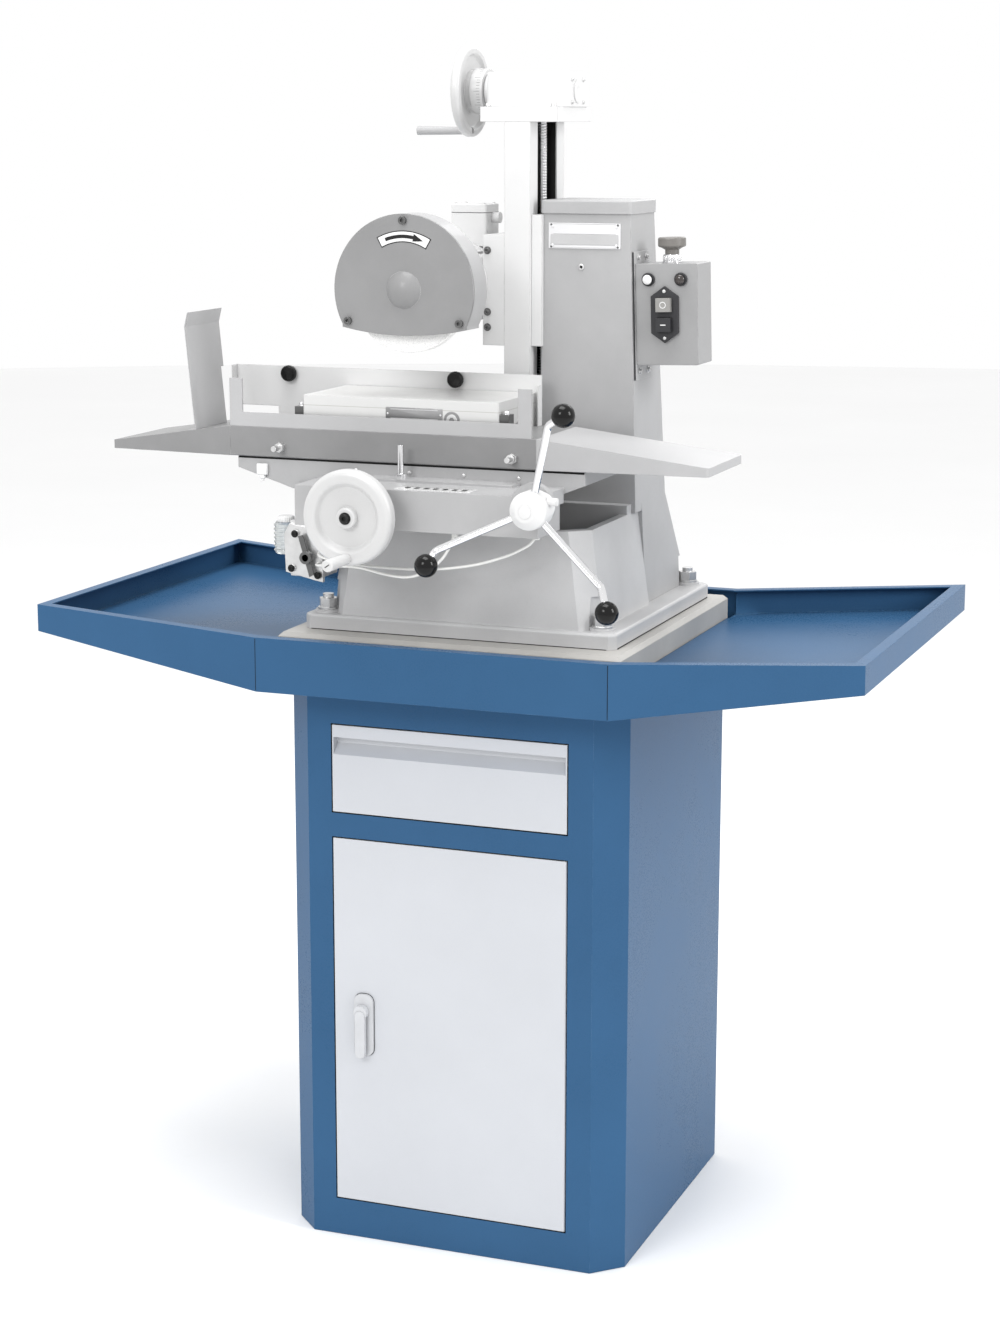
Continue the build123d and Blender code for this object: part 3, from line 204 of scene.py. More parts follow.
def clear_plastic():
    material = surface("clear_plastic", (0.80, 0.83, 0.83), (0.12, 0.25), tint=0.03, cloud=30.0, bump=0.03)
    shader = material.node_tree.nodes["Principled BSDF"]
    shader.inputs["Transmission Weight"].default_value = 0.75
    shader.inputs["IOR"].default_value = 1.46
    return material


def cast(name, colour, rough=(0.38, 0.55), wear=(0.30, 0.30, 0.30), tint=0.05):
    """Enamel over filled cast iron: slightly wavy, fine orange peel."""
    def waves(tree, place):
        return noise(tree, place, 55.0, 3.0)
    return surface(name, colour, rough, coat=0.12, tint=tint, cloud=7.0, grain=700.0, bump=0.22,
                   wear=wear, edge=1.6 * MM, height_from=waves)


steel_edge = (0.62, 0.62, 0.63)
materials = {
    "blue_paint": blue_sheet(),
    "door_paint": surface("door_paint", (0.495, 0.51, 0.54), (0.30, 0.42), coat=0.15, tint=0.03, cloud=4.0,
                          grain=520.0, bump=0.07, wear=(0.45, 0.46, 0.48), edge=1.0 * MM),
    "machine_grey": cast("machine_grey", (0.37, 0.37, 0.374), wear=(0.60, 0.60, 0.60), tint=0.09),
    # A lighter copy of machine_grey; on the base casting it is painted light that lifts its shaded front. The
    # nameplate's band and lines use the same grey.
    "base_grey_and_painted_light": cast("base_grey_and_painted_light", (0.47, 0.47, 0.474), wear=(0.66, 0.66, 0.66), tint=0.09),
    "box_grey": cast("box_grey", (0.30, 0.30, 0.303), wear=(0.56, 0.56, 0.56), tint=0.08),
    "guard_grey": surface("guard_grey", (0.40, 0.40, 0.405), (0.36, 0.5), coat=0.05, tint=0.07, grain=800.0,
                          bump=0.12, wear=(0.24, 0.24, 0.24), edge=1.1 * MM),
    "table_grey": cast("table_grey", (0.215, 0.215, 0.217), wear=(0.55, 0.55, 0.55), tint=0.10),
    "cover_grey": cast("cover_grey", (0.22, 0.22, 0.222), wear=(0.58, 0.58, 0.58), tint=0.09),
    "light_casting": cast("light_casting", (0.655, 0.655, 0.655), wear=(0.42, 0.42, 0.42), tint=0.03),
    "wheel_enamel": cast("wheel_enamel", (0.54, 0.54, 0.54), (0.25, 0.4), wear=(0.80, 0.80, 0.80), tint=0.04),
    "latch_grey": surface("latch_grey", (0.50, 0.51, 0.53), (0.28, 0.4), coat=0.2, tint=0.05, cloud=20.0,
                          bump=0.06, wear=(0.30, 0.30, 0.32), edge=1.2 * MM),
    "plinth_paint": cast("plinth_paint", (0.40, 0.39, 0.37), wear=(0.30, 0.30, 0.29), tint=0.10),
    "bright_steel": surface("bright_steel", (0.66, 0.66, 0.67), (0.18, 0.32), metallic=1.0, tint=0.06,
                            grain=600.0, bump=0.08, stretch=(1, 1, 0.15), wear=(0.8, 0.8, 0.8)),
    "chuck_steel": chuck_steel(),
    "chrome": surface("chrome", (0.80, 0.80, 0.81), (0.06, 0.16), metallic=1.0, tint=0.03, cloud=14.0,
                      bump=0.02, wear=(0.9, 0.9, 0.9)),
    "zinc_steel": surface("zinc_steel", (0.62, 0.62, 0.62), (0.26, 0.42), metallic=0.9, tint=0.10,
                          cloud=40.0, bump=0.10, wear=(0.8, 0.8, 0.8)),
    "dark_steel": surface("dark_steel", (0.12, 0.12, 0.12), (0.26, 0.42), metallic=0.7, tint=0.12,
                          cloud=40.0, bump=0.10, wear=(0.4, 0.4, 0.4)),
    "black_plastic": surface("black_plastic", (0.006, 0.006, 0.006), (0.05, 0.11), tint=0.12, shine=0.22,
                             cloud=12.0, bump=0.02, wear=(0.02, 0.02, 0.02)),
    "dark_plastic": surface("dark_plastic", (0.030, 0.030, 0.033), (0.35, 0.5), tint=0.12, bump=0.10,
                            shine=0.3, cloud=25.0, wear=(0.08, 0.08, 0.08)),
    "grey_plastic": surface("grey_plastic", (0.27, 0.265, 0.255), (0.32, 0.45), tint=0.08, bump=0.08,
                            cloud=25.0, wear=(0.50, 0.49, 0.47)),
    "stop_head": surface("stop_head", (0.16, 0.152, 0.142), (0.3, 0.42), tint=0.10, bump=0.10,
                         cloud=25.0, wear=(0.32, 0.31, 0.30)),
    "white_plastic": surface("white_plastic", (0.75, 0.75, 0.75), (0.18, 0.3), coat=0.3, tint=0.03,
                             bump=0.04, cloud=20.0),
    "clear_plastic": clear_plastic(),
    "oil_tube": surface("oil_tube", (0.80, 0.80, 0.78), (0.30, 0.42), tint=0.05, cloud=30.0, bump=0.04),
    "abrasive": wheel_grit(),
    "bronze": surface("bronze", (0.55, 0.38, 0.16), (0.25, 0.4), metallic=1.0, tint=0.10, bump=0.10),
    "plate": surface("plate", (0.72, 0.72, 0.73), (0.28, 0.4), metallic=0.15, tint=0.04, grain=500.0,
                     bump=0.05, stretch=(0.1, 1, 1), wear=steel_edge),
    "ink": surface("ink", (0.012, 0.012, 0.012), (0.35, 0.5), tint=0.15, bump=0.03, shine=0.25),
    # Black laid into the slide's channel, the cowl's slots and the gaps at the table, the openings and the foot:
    # painted shade; also the tray's dark front seams.
    "seam_and_painted_shade_black": surface("seam_and_painted_shade_black", (0.006, 0.006, 0.006), (0.5, 0.7), tint=0.3, cloud=30.0,
                            bump=0.15, shine=0.15),
    "lamp_dark": surface("lamp_dark", (0.035, 0.028, 0.026), (0.08, 0.16), coat=0.3, tint=0.1, bump=0.02),
}
extra_materials = {
    "magnetic_chuck": "chuck_steel", "table": "table_grey", "table_end_left": "table_grey",
    "guard_cover": "cover_grey",
    "cross_handwheel": "wheel_enamel", "cross_grip": "wheel_enamel", "elevation_handwheel": "wheel_enamel",
    "door_lever": "latch_grey", "door_escutcheon": "latch_grey", "emergency_button": "stop_head",
    "stop_post": "chrome", "pump_lever": "dark_steel", "cover_screws": "dark_steel",
    # The base casting takes the lighter copy of machine grey: painted light.
    "signal_lamps": "dark_plastic", "chuck_clamps": "dark_steel", "base_casting": "base_grey_and_painted_light",
    "switch_box": "box_grey", "switch_bracket": "machine_grey", "elevation_grip": "guard_grey",
}
for part in frame["record"]["subparts"]:
    chosen = extra_materials.get(part["node"], part["material_slot"])
    for held in nodes[part["node"]].material_slots:
        held.material = materials[chosen]


# ---- mesh helpers --------------------------------------------------------------------------------
def facing(direction, origin=(0, 0, 0)):
    """A frame at origin whose Z points along a direction."""
    return Matrix.Translation(origin) @ Vector(direction).to_track_quat("Z", "Y").to_matrix().to_4x4()


def wall_frame(origin):
    """A frame on a wall that faces the operator: X right, Y up, Z towards the operator."""
    return Matrix.Translation(origin) @ Matrix.Rotation(radians(90), 4, "X")


def finish_piece(name, bm, slot, body, material=None, sharp=35):
    """Makes an object from the mesh, smooth but for its sharp edges, and lets it ride on a body."""
    bmesh.ops.recalc_face_normals(bm, faces=bm.faces)
    mesh = bpy.data.meshes.new(name)
    bm.to_mesh(mesh)
    bm.free()
    mesh.materials.append(materials[material or slot])
    for face in mesh.polygons:
        face.use_smooth = True
    mesh.set_sharp_from_angle(angle=radians(sharp))
    obj = bpy.data.objects.new(name, mesh)
    bpy.context.scene.collection.objects.link(obj)
    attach(obj, body)
    return obj


def lathe(bm, place, profile, segments=48):
    """Turns a profile round the Z of a frame. A radius is a number or a function of the angle."""
    rings = []
    for radius, height in profile:
        if radius == 0:
            rings.append([bm.verts.new(place @ Vector((0, 0, height)))])
            continue
        ring = []
        for i in range(segments):
            angle = 2 * pi * i / segments
            r = radius(angle) if callable(radius) else radius
            ring.append(bm.verts.new(place @ Vector((r * cos(angle), r * sin(angle), height))))
        rings.append(ring)
    for low, high in zip(rings, rings[1:]):
        for i in range(segments):
            j = (i + 1) % segments
            corners = [low[i % len(low)], low[j % len(low)], high[j % len(high)], high[i % len(high)]]
            unique = list(dict.fromkeys(corners))
            bm.faces.new(unique)
    for end in (rings[0], rings[-1]):
        if len(end) > 1:
            bm.faces.new(end)


def hexagonal(apothem):
    return lambda t: apothem / cos((t + pi / 6) % (pi / 3) - pi / 6)


def fluted(radius, depth, count):
    return lambda t: radius - depth * (0.5 - 0.5 * cos(count * t))


def plate(bm, place, outline, thickness, bevel=0.0):
    """Extrudes an outline of (x, y) points along the Z of a frame, with bevelled front edges."""
    low = [bm.verts.new(place @ Vector((x, y, 0))) for x, y in outline]
    high = [bm.verts.new(place @ Vector((x, y, thickness))) for x, y in outline]
    bm.faces.new(list(reversed(low)))
    front = bm.faces.new(high)
    for i in range(len(outline)):
        j = (i + 1) % len(outline)
        bm.faces.new([low[i], low[j], high[j], high[i]])
    if bevel:
        bmesh.ops.bevel(bm, geom=list(front.edges), offset=bevel, segments=2, affect="EDGES", profile=0.5)


def rectangle(width, height, corner=0.0, centre=(0, 0), steps=5):
    """The outline of a rectangle with rounded corners."""
    if not corner:
        return [(centre[0] + sx * width / 2, centre[1] + sy * height / 2)
                for sx, sy in ((-1, -1), (1, -1), (1, 1), (-1, 1))]
    points = []
    for quarter, (sx, sy) in enumerate(((1, 1), (-1, 1), (-1, -1), (1, -1))):
        x = centre[0] + sx * (width / 2 - corner)
        y = centre[1] + sy * (height / 2 - corner)
        for i in range(steps + 1):
            angle = (quarter + i / steps) * pi / 2
            points.append((x + corner * cos(angle), y + corner * sin(angle)))
    return points


def arc_band(inner, outer, start, end, steps=24):
    """The outline of part of a ring, between two angles in degrees."""
    angles = [radians(start + (end - start) * i / steps) for i in range(steps + 1)]
    return ([(outer * cos(a), outer * sin(a)) for a in angles]
            + [(inner * cos(a), inner * sin(a)) for a in reversed(angles)])


def box(bm, low, high, bevel=0.4 * MM):
    """A bevelled block between two corners."""
    size = Vector(high) - Vector(low)
    middle = (Vector(high) + Vector(low)) / 2
    made = bmesh.ops.create_cube(bm, size=1.0, matrix=Matrix.LocRotScale(middle, None, size))
    edges = {e for v in made["verts"] for e in v.link_edges}
    bmesh.ops.bevel(bm, geom=list(edges), offset=bevel, segments=2, affect="EDGES", profile=0.5)


def socket_screw(bm, origin, direction, radius, height=None):
    """A cap screw with a washer, a chamfered head and a hexagon socket."""
    height = height or radius
    place = facing(direction, origin)
    washer = 0.22 * radius
    lathe(bm, place, [(0, 0), (1.45 * radius, 0), (1.5 * radius, 0.4 * washer), (1.45 * radius, washer),
                      (0, washer)], 36)
    socket = 0.5 * radius
    lathe(bm, place, [(0, washer), (radius, washer), (radius, washer + 0.8 * height),
                      (0.86 * radius, washer + height), (hexagonal(socket), washer + height),
                      (hexagonal(socket), washer + 0.45 * height), (0, washer + 0.4 * height)], 48)


def slotted_screw(bm, origin, direction, radius, slot_angle=0.4):
    """A low round-headed screw with a driver slot."""
    place = facing(direction, origin) @ Matrix.Rotation(slot_angle, 4, "Z")
    lathe(bm, place, [(0, 0), (radius, 0), (0.96 * radius, 0.3 * radius), (0.7 * radius, 0.48 * radius),
                      (0, 0.55 * radius)], 32)
    return place @ Matrix.Translation((0, 0, 0.45 * radius))


def thread(bm, origin, direction, length, radius, pitch, depth, segments=28):
    """A rod with a screw thread."""
    place = facing(direction, origin)
    rows_per_turn = 6
    shape = (0, 0, depth * 0.5, depth, depth, depth * 0.5)
    rows = int(length / pitch * rows_per_turn) + rows_per_turn + 1
    grid = []
    for i in range(rows):
        ring = []
        for j in range(segments):
            angle = 2 * pi * j / segments
            height = (i / rows_per_turn - 1 + j / segments) * pitch
            dip = shape[i % rows_per_turn]
            if height <= 0 or height >= length:
                dip = depth
            height = min(max(height, 0), length)
            r = radius - dip
            ring.append(bm.verts.new(place @ Vector((r * cos(angle), r * sin(angle), height))))
        grid.append(ring)
    for i in range(rows - 1):
        for j in range(segments - 1):
            bm.faces.new([grid[i][j], grid[i][j + 1], grid[i + 1][j + 1], grid[i + 1][j]])
        k = i + rows_per_turn
        if k + 1 < rows:
            bm.faces.new([grid[i][-1], grid[k][0], grid[k + 1][0], grid[i + 1][-1]])
    for height in (0, length):
        lathe(bm, place, [(0, height), (radius - depth, height)], segments)


def graduations(bm, place, radius, start, count, short, long, width=0.35 * MM):
    """Dial lines round a drum, along the Z of a frame, every fifth one longer."""
    for i in range(count):
        turn = place @ Matrix.Rotation(2 * pi * i / count, 4, "Z")
        length = long if i % 5 == 0 else short
        lines = turn @ Matrix.Translation((radius, 0, start)) @ Matrix.Rotation(radians(90), 4, "Y")
        plate(bm, lines, rectangle(length, width, centre=(-length / 2, 0)), 0.12 * MM)


def tube(name, points, radius, slot, body, material=None):
    """A smooth round tube along points."""
    curve = bpy.data.curves.new(name, "CURVE")
    curve.dimensions = "3D"
    curve.bevel_depth = radius
    curve.bevel_resolution = 5
    curve.use_fill_caps = True
    spline = curve.splines.new("NURBS")
    spline.points.add(len(points) - 1)
    for point, place in zip(spline.points, points):
        point.co = (*place, 1)
    spline.order_u = 3
    spline.use_endpoint_u = True
    obj = bpy.data.objects.new(name, curve)
    bpy.context.scene.collection.objects.link(obj)
    curve.materials.append(materials[material or slot])
    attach(obj, body)
    return obj


# ---- wheel guard: rotation label with its arrow --------------------------------------------------
spindle = joint_at["spindle_turn"]
guard_sheet = 4 * MM
guard_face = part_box("wheel_guard")[0].y - guard_sheet
guard_front_place = wall_frame((spindle.x, guard_face, spindle.z))


def make_rotation_label():
    middle = 89.0
    half = 29.0
    bm = bmesh.new()
    plate(bm, guard_front_place, arc_band(66 * MM, 82 * MM, middle - half - 1, middle + half + 1), 0.3 * MM)
    finish_piece("rotation_label_edge", bm, "dark_plastic", "head", "ink")
    bm = bmesh.new()
    lift = guard_front_place @ Matrix.Translation((0, 0, 0.3 * MM))
    plate(bm, lift, arc_band(67.3 * MM, 80.7 * MM, middle - half, middle + half), 0.25 * MM)
    finish_piece("rotation_label", bm, "white_plastic", "head")
    bm = bmesh.new()
    lift = lift @ Matrix.Translation((0, 0, 0.25 * MM))
    plate(bm, lift, arc_band(71.6 * MM, 76.4 * MM, middle - 11, middle + 22), 0.2 * MM)
    tip, root = radians(middle - 23), radians(middle - 11)
    head = [(74 * MM * cos(tip), 74 * MM * sin(tip)), (79.3 * MM * cos(root), 79.3 * MM * sin(root)),
            (68.7 * MM * cos(root), 68.7 * MM * sin(root))]
    plate(bm, lift, head, 0.2 * MM)
    finish_piece("rotation_arrow", bm, "dark_plastic", "head", "ink")


make_rotation_label()

# ---- elevation gear: lead screw, painted shade in the slide's channel, dial, case screws ---------
slide_low, slide_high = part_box("vertical_slide")
screw_low, screw_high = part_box("elevation_screw")
screw_axis = joint_at["elevation_screw_turn"]
rail_width = 31 * MM
web = 17 * MM


def make_lead_screw():
    bm = bmesh.new()
    start = (screw_axis.x, screw_axis.y, screw_low.z + 6.5 * MM)
    thread(bm, start, UP, screw_high.z - start[2], 8 * MM, 4 * MM, 1.1 * MM)
    lathe(bm, facing(UP, (screw_axis.x, screw_axis.y, screw_low.z)),
          [(0, 0), (4.6 * MM, 0), (5 * MM, 0.5 * MM), (5 * MM, 6.5 * MM), (0, 6.5 * MM)], 28)
    made = finish_piece("lead_screw", bm, "bright_steel", "elevation_screw")
    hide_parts("elevation_screw")


def make_channel_painted_shade():
    """Black skins on the faces of the slide's channel: painted shade."""
    bm = bmesh.new()
    top = slide_high.z - 0.5 * MM
    bottom = slide_low.z + 6.5 * MM
    back_x = slide_low.x + web
    front_y = slide_low.y + rail_width
    back_y = slide_high.y - rail_width
    skin = 0.25 * MM
    box(bm, (back_x, front_y, bottom), (back_x + skin, back_y, top), 0.05 * MM)
    edge_x = slide_high.x - 2 * MM
    box(bm, (back_x, front_y, bottom), (edge_x, front_y + skin, top), 0.05 * MM)
    box(bm, (back_x, back_y - skin, bottom), (edge_x, back_y, top), 0.05 * MM)
    finish_piece("slide_channel_painted_shade", bm, "dark_plastic", "head", "seam_and_painted_shade_black")


def make_elevation_details():
    wheel_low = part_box("elevation_handwheel")[0]
    axis = joint_at["elevation_wheel_turn"]
    drum_x = wheel_low.x + 38.5 * MM
    bm = bmesh.new()
    graduations(bm, facing(LEFT, (drum_x, axis.y, axis.z)), 33 * MM, 3 * MM, 50, 5 * MM, 9 * MM)
    finish_piece("elevation_dial_lines", bm, "dark_plastic", "elevation_wheel", "ink")
    bm = bmesh.new()
    slotted_screw(bm, (wheel_low.x + 1 * MM, axis.y, axis.z), LEFT, 7 * MM)
    finish_piece("elevation_hub_screw", bm, "zinc_steel", "elevation_wheel")
    case_low, case_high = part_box("gear_case")
    bm = bmesh.new()
    for y in (-1, 1):
        for z in (-1, 1):
            spot = (case_high.x, axis.y + 24 * MM * y, axis.z + 16 * MM * z)
            socket_screw(bm, spot, RIGHT, 2.2 * MM)
    for x in (case_low.x + 22 * MM, case_high.x - 12 * MM):
        for y in (slide_low.y + 10 * MM, slide_high.y - 9 * MM):
            socket_screw(bm, (x, y, slide_high.z + 21 * MM), UP, 4 * MM)
    finish_piece("gear_case_screws", bm, "zinc_steel", "head")
    bm = bmesh.new()
    cover = facing(RIGHT, (case_high.x, axis.y, axis.z))
    lathe(bm, cover, [(0, 0), (17 * MM, 0), (17 * MM, 1.6 * MM), (16 * MM, 2.2 * MM), (7 * MM, 2.2 * MM),
                      (6 * MM, 1.6 * MM), (0, 1.6 * MM)])
    finish_piece("gear_case_bearing_cap", bm, "light_casting", "head")


make_lead_screw()
make_channel_painted_shade()
make_elevation_details()


# ---- spindle motor: fins, fan cowl, painted shade for its slots, screws, lid gasket --------------
def make_motor_details():
    motor_low, motor_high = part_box("spindle_motor")
    radius = 57 * MM
    fin_start = motor_low.y + 70 * MM
    fin_end = motor_high.y - 62 * MM
    fin_count = 36
    bm = bmesh.new()
    for i in range(fin_count):
        angle = 360 * i / fin_count
        beside_arm = angle < 48 or angle > 312
        under_box = 58 < angle < 122
        if beside_arm or under_box:
            continue
        a = radians(angle)
        root = (spindle.x + (radius - 1 * MM) * cos(a), fin_start, spindle.z + (radius - 1 * MM) * sin(a))
        out = Vector((cos(a), 0, sin(a)))
        side = out.cross(BACK)
        place = Matrix((out, BACK, side)).transposed().to_4x4()
        place = Matrix.Translation(Vector(root) - side * 1 * MM) @ place
        span = fin_end - fin_start
        outline = [(0, 0), (4 * MM, 5 * MM), (4 * MM, span - 5 * MM), (0, span)]
        plate(bm, place, outline, 2 * MM)
    finish_piece("motor_fins", bm, "light_casting", "head")
    bm = bmesh.new()
    cowl = facing(BACK, (spindle.x, motor_high.y - 58 * MM, spindle.z))
    lathe(bm, cowl, [(radius - 2 * MM, 0), (radius + 2.5 * MM, 0), (radius + 3 * MM, 1 * MM),
                     (radius + 3 * MM, 46 * MM), (radius - 1 * MM, 54 * MM), (radius - 5 * MM, 57 * MM),
                     (radius - 8 * MM, 57.4 * MM)], 64)
    finish_piece("motor_fan_cowl", bm, "light_casting", "head")
    # Black arcs on the cowl's back stand for its slots: painted shade of the openings.
    bm = bmesh.new()
    back = facing(BACK, (spindle.x, motor_high.y, spindle.z))
    for ring in range(4):
        inner = (12 + 9.5 * ring) * MM
        for sector in range(6):
            start = 60 * sector + 6
            plate(bm, back, arc_band(inner, inner + 5 * MM, start, start + 48, 10), 0.15 * MM)
    finish_piece("motor_cowl_slot_painted_shade", bm, "dark_plastic", "head", "seam_and_painted_shade_black")
    bm = bmesh.new()
    for i in range(4):
        a = radians(45 + 90 * i)
        spot = (spindle.x + (radius + 2.6 * MM) * cos(a), motor_high.y - 48 * MM,
                spindle.z + (radius + 2.6 * MM) * sin(a))
        slotted_screw(bm, spot, (cos(a), 0, sin(a)), 3 * MM)
    box_low, box_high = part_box("terminal_box")
    for x in (box_low.x + 6 * MM, spindle.x + 31 * MM):
        for y in (box_low.y + 6 * MM, box_high.y - 6 * MM):
            slotted_screw(bm, (x, y, box_high.z), UP, 2.5 * MM)
    finish_piece("head_screws", bm, "zinc_steel", "head")
    bm = bmesh.new()
    for z in (-62, -40, 48):
        socket_screw(bm, (slide_low.x - 26 * MM, slide_low.y, spindle.z + z * MM), FRONT, 3.8 * MM)
    finish_piece("motor_mount_screws", bm, "zinc_steel", "head", "dark_steel")
    bm = bmesh.new()
    lid_z = box_high.z - 13 * MM
    lid = Matrix.Translation((spindle.x + 9 * MM, (box_low.y + box_high.y) / 2, lid_z))
    ring = rectangle(56.5 * MM, 52.5 * MM, 4.2 * MM)
    plate(bm, lid, ring, 0.8 * MM)
    finish_piece("terminal_lid_gasket", bm, "dark_plastic", "head")


make_motor_details()


# ---- cross and star handles ----------------------------------------------------------------------
def make_cross_details():
    axis = joint_at["cross_wheel_turn"]
    low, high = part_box("cross_handwheel")
    bm = bmesh.new()
    lathe(bm, facing(FRONT, (axis.x, low.y, axis.z)),
          [(0, 0), (8.4 * MM, 0), (8.4 * MM, 0.8 * MM), (0, 0.8 * MM)], 36)
    lathe(bm, facing(FRONT, (axis.x, low.y + 0.6 * MM, axis.z)),
          [(0, 0), (6.4 * MM, 0), (6.4 * MM, 4.4 * MM), (5.6 * MM, 5.2 * MM), (hexagonal(3 * MM), 5.2 * MM),
           (hexagonal(3 * MM), 2 * MM), (0, 1.8 * MM)])
    finish_piece("cross_hub_bolt", bm, "dark_plastic", "cross_wheel", "ink")
    bm = bmesh.new()
    graduations(bm, facing(BACK, (axis.x, high.y, axis.z)), 28 * MM, -3 * MM, 50, 5 * MM, 9 * MM)
    finish_piece("cross_dial_lines", bm, "dark_plastic", "cross_wheel", "ink")
    grip_low, grip_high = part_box("cross_grip")
    grip = (Vector(grip_low) + Vector(grip_high)) / 2
    bm = bmesh.new()
    plate(bm, wall_frame((grip.x, grip_low.y, grip.z)) @ Matrix.Rotation(0.6, 4, "Z"),
          rectangle(8 * MM, 1.4 * MM, 0.5 * MM), 0.03 * MM)
    finish_piece("cross_grip_slot", bm, "dark_plastic", "cross_wheel", "ink")


def make_star_details():
    axis = joint_at["star_handle_turn"]
    hub_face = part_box("star_hub")[0].y
    bm = bmesh.new()
    lathe(bm, facing(FRONT, (axis.x, hub_face, axis.z)),
          [(0, -1 * MM), (9.5 * MM, -0.4 * MM), (9 * MM, 0.5 * MM), (6 * MM, 1.1 * MM), (0, 1.4 * MM)], 40)
    finish_piece("star_hub_cap", bm, "light_casting", "star_handle")


make_cross_details()
make_star_details()


# ---- saddle: blank label, painted shadow under the table, gib screws, oil fitting; oil pump and tank ---
def make_saddle_details():
    low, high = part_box("saddle")
    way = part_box("table")[0].z - 0.8 * MM
    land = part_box("stop_post")[0].z
    label = Matrix.Translation((-6 * MM, low.y + 26 * MM, land - 4 * MM))
    bm = bmesh.new()
    plate(bm, label, rectangle(112 * MM, 34 * MM, 2 * MM), 0.5 * MM, 0.1 * MM)
    finish_piece("apron_label", bm, "plate", "saddle", "white_plastic")
    bm = bmesh.new()
    frame_place = label @ Matrix.Translation((0, 0, 0.5 * MM))
    for y in (-12, 12):
        plate(bm, frame_place, rectangle(102 * MM, 1 * MM, centre=(0, y * MM)), 0.1 * MM)
    for i in range(-3, 4):
        plate(bm, frame_place, rectangle(7 * MM, 12 * MM, 2 * MM, centre=(i * 14 * MM, 0)), 0.1 * MM)
    finish_piece("apron_label_print", bm, "dark_plastic", "saddle", "ink")
    bm = bmesh.new()
    # A black strip on the saddle under the table's front edge: painted shadow of the gap between saddle and table.
    box(bm, (low.x + 1 * MM, -196.4 * MM, way - 2.4 * MM), (high.x - 1 * MM, -195 * MM, way), 0.2 * MM)
    finish_piece("table_gap_painted_shadow", bm, "dark_plastic", "saddle", "seam_and_painted_shade_black")
    bm = bmesh.new()
    for i in range(4):
        spot = (-160 * MM + i * 82 * MM, -196 * MM, way - 12 * MM)
        slotted_screw(bm, spot, FRONT, 3 * MM, 0.5 * i)
    finish_piece("gib_screws", bm, "zinc_steel", "saddle")
    bm = bmesh.new()
    fitting = Vector((-305 * MM, -196 * MM, 1130 * MM))
    box(bm, fitting + Vector((-8, -7, -9)) * MM, fitting + Vector((8, 0, 7)) * MM, 1.2 * MM)
    lathe(bm, facing(DOWN, fitting + Vector((0, -3.5, -9)) * MM),
          [(0, 0), (hexagonal(4 * MM), 0), (hexagonal(4 * MM), 5 * MM), (2.5 * MM, 6 * MM),
           (2.5 * MM, 9 * MM), (0, 9 * MM)])
    finish_piece("oil_fitting", bm, "white_plastic", "saddle")


def make_pump_details():
    low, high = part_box("oil_pump")
    lever_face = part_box("pump_lever")[0].y
    bm = bmesh.new()
    face = low.y + 3 * MM
    for x, z in ((-244, -18), (-250, -68), (-210, -22), (-209, -76)):
        spot = (x * MM, face, high.z + z * MM)
        socket_screw(bm, spot, FRONT, 3.6 * MM, 2 * MM)
    finish_piece("pump_screws", bm, "dark_plastic", "saddle", "ink")
    bm = bmesh.new()
    turn = joint_at["pump_lever_swing"]
    lathe(bm, facing(FRONT, (turn.x, lever_face, turn.z)),
          [(0, -2 * MM), (8 * MM, -2 * MM), (7.6 * MM, -0.4 * MM), (5 * MM, 0), (0, 0)], 36)
    finish_piece("pump_lever_cap", bm, "chrome", "pump_lever")
    tank_low, tank_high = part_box("oil_reservoir")
    radius = (tank_high.y - tank_low.y) / 2
    centre = Vector((tank_low.x + radius, (tank_low.y + tank_high.y) / 2, tank_low.z))
    height = tank_high.z - tank_low.z
    ribs = []
    body_height = height - 8 * MM
    for i in range(7):
        level = 5 * MM + i * (body_height - 10 * MM) / 6
        ribs += [(radius - 1.6 * MM, level - 2.2 * MM), (radius, level - 0.8 * MM),
                 (radius, level + 0.8 * MM), (radius - 1.6 * MM, level + 2.2 * MM)]
    profile = [(0, 0), (radius - 3 * MM, 0), (radius - 1.6 * MM, 1.5 * MM), *ribs,
               (radius - 3 * MM, body_height), (0, body_height)]
    bm = bmesh.new()
    lathe(bm, Matrix.Translation(centre), profile, 56)
    tank = finish_piece("oil_tank", bm, "clear_plastic", "saddle", sharp=50)
    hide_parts("oil_reservoir")
    bm = bmesh.new()
    cap = Matrix.Translation(centre + Vector((0, 0, body_height)))
    lathe(bm, cap, [(0, 0), (fluted(12 * MM, 0.8 * MM, 24), 0), (fluted(12 * MM, 0.8 * MM, 24), 6.5 * MM),
                    (10.5 * MM, 8 * MM), (0, 8 * MM)], 144)
    finish_piece("oil_tank_cap", bm, "white_plastic", "saddle")
    bm = bmesh.new()
    spout = centre + Vector((0, 0, 22 * MM))
    start = radius - 4 * MM
    lathe(bm, facing(RIGHT, spout), [(0, start), (5.5 * MM, start), (5.5 * MM, radius), (0, radius)])
    finish_piece("oil_tank_spout", bm, "white_plastic", "saddle")


make_saddle_details()
make_pump_details()


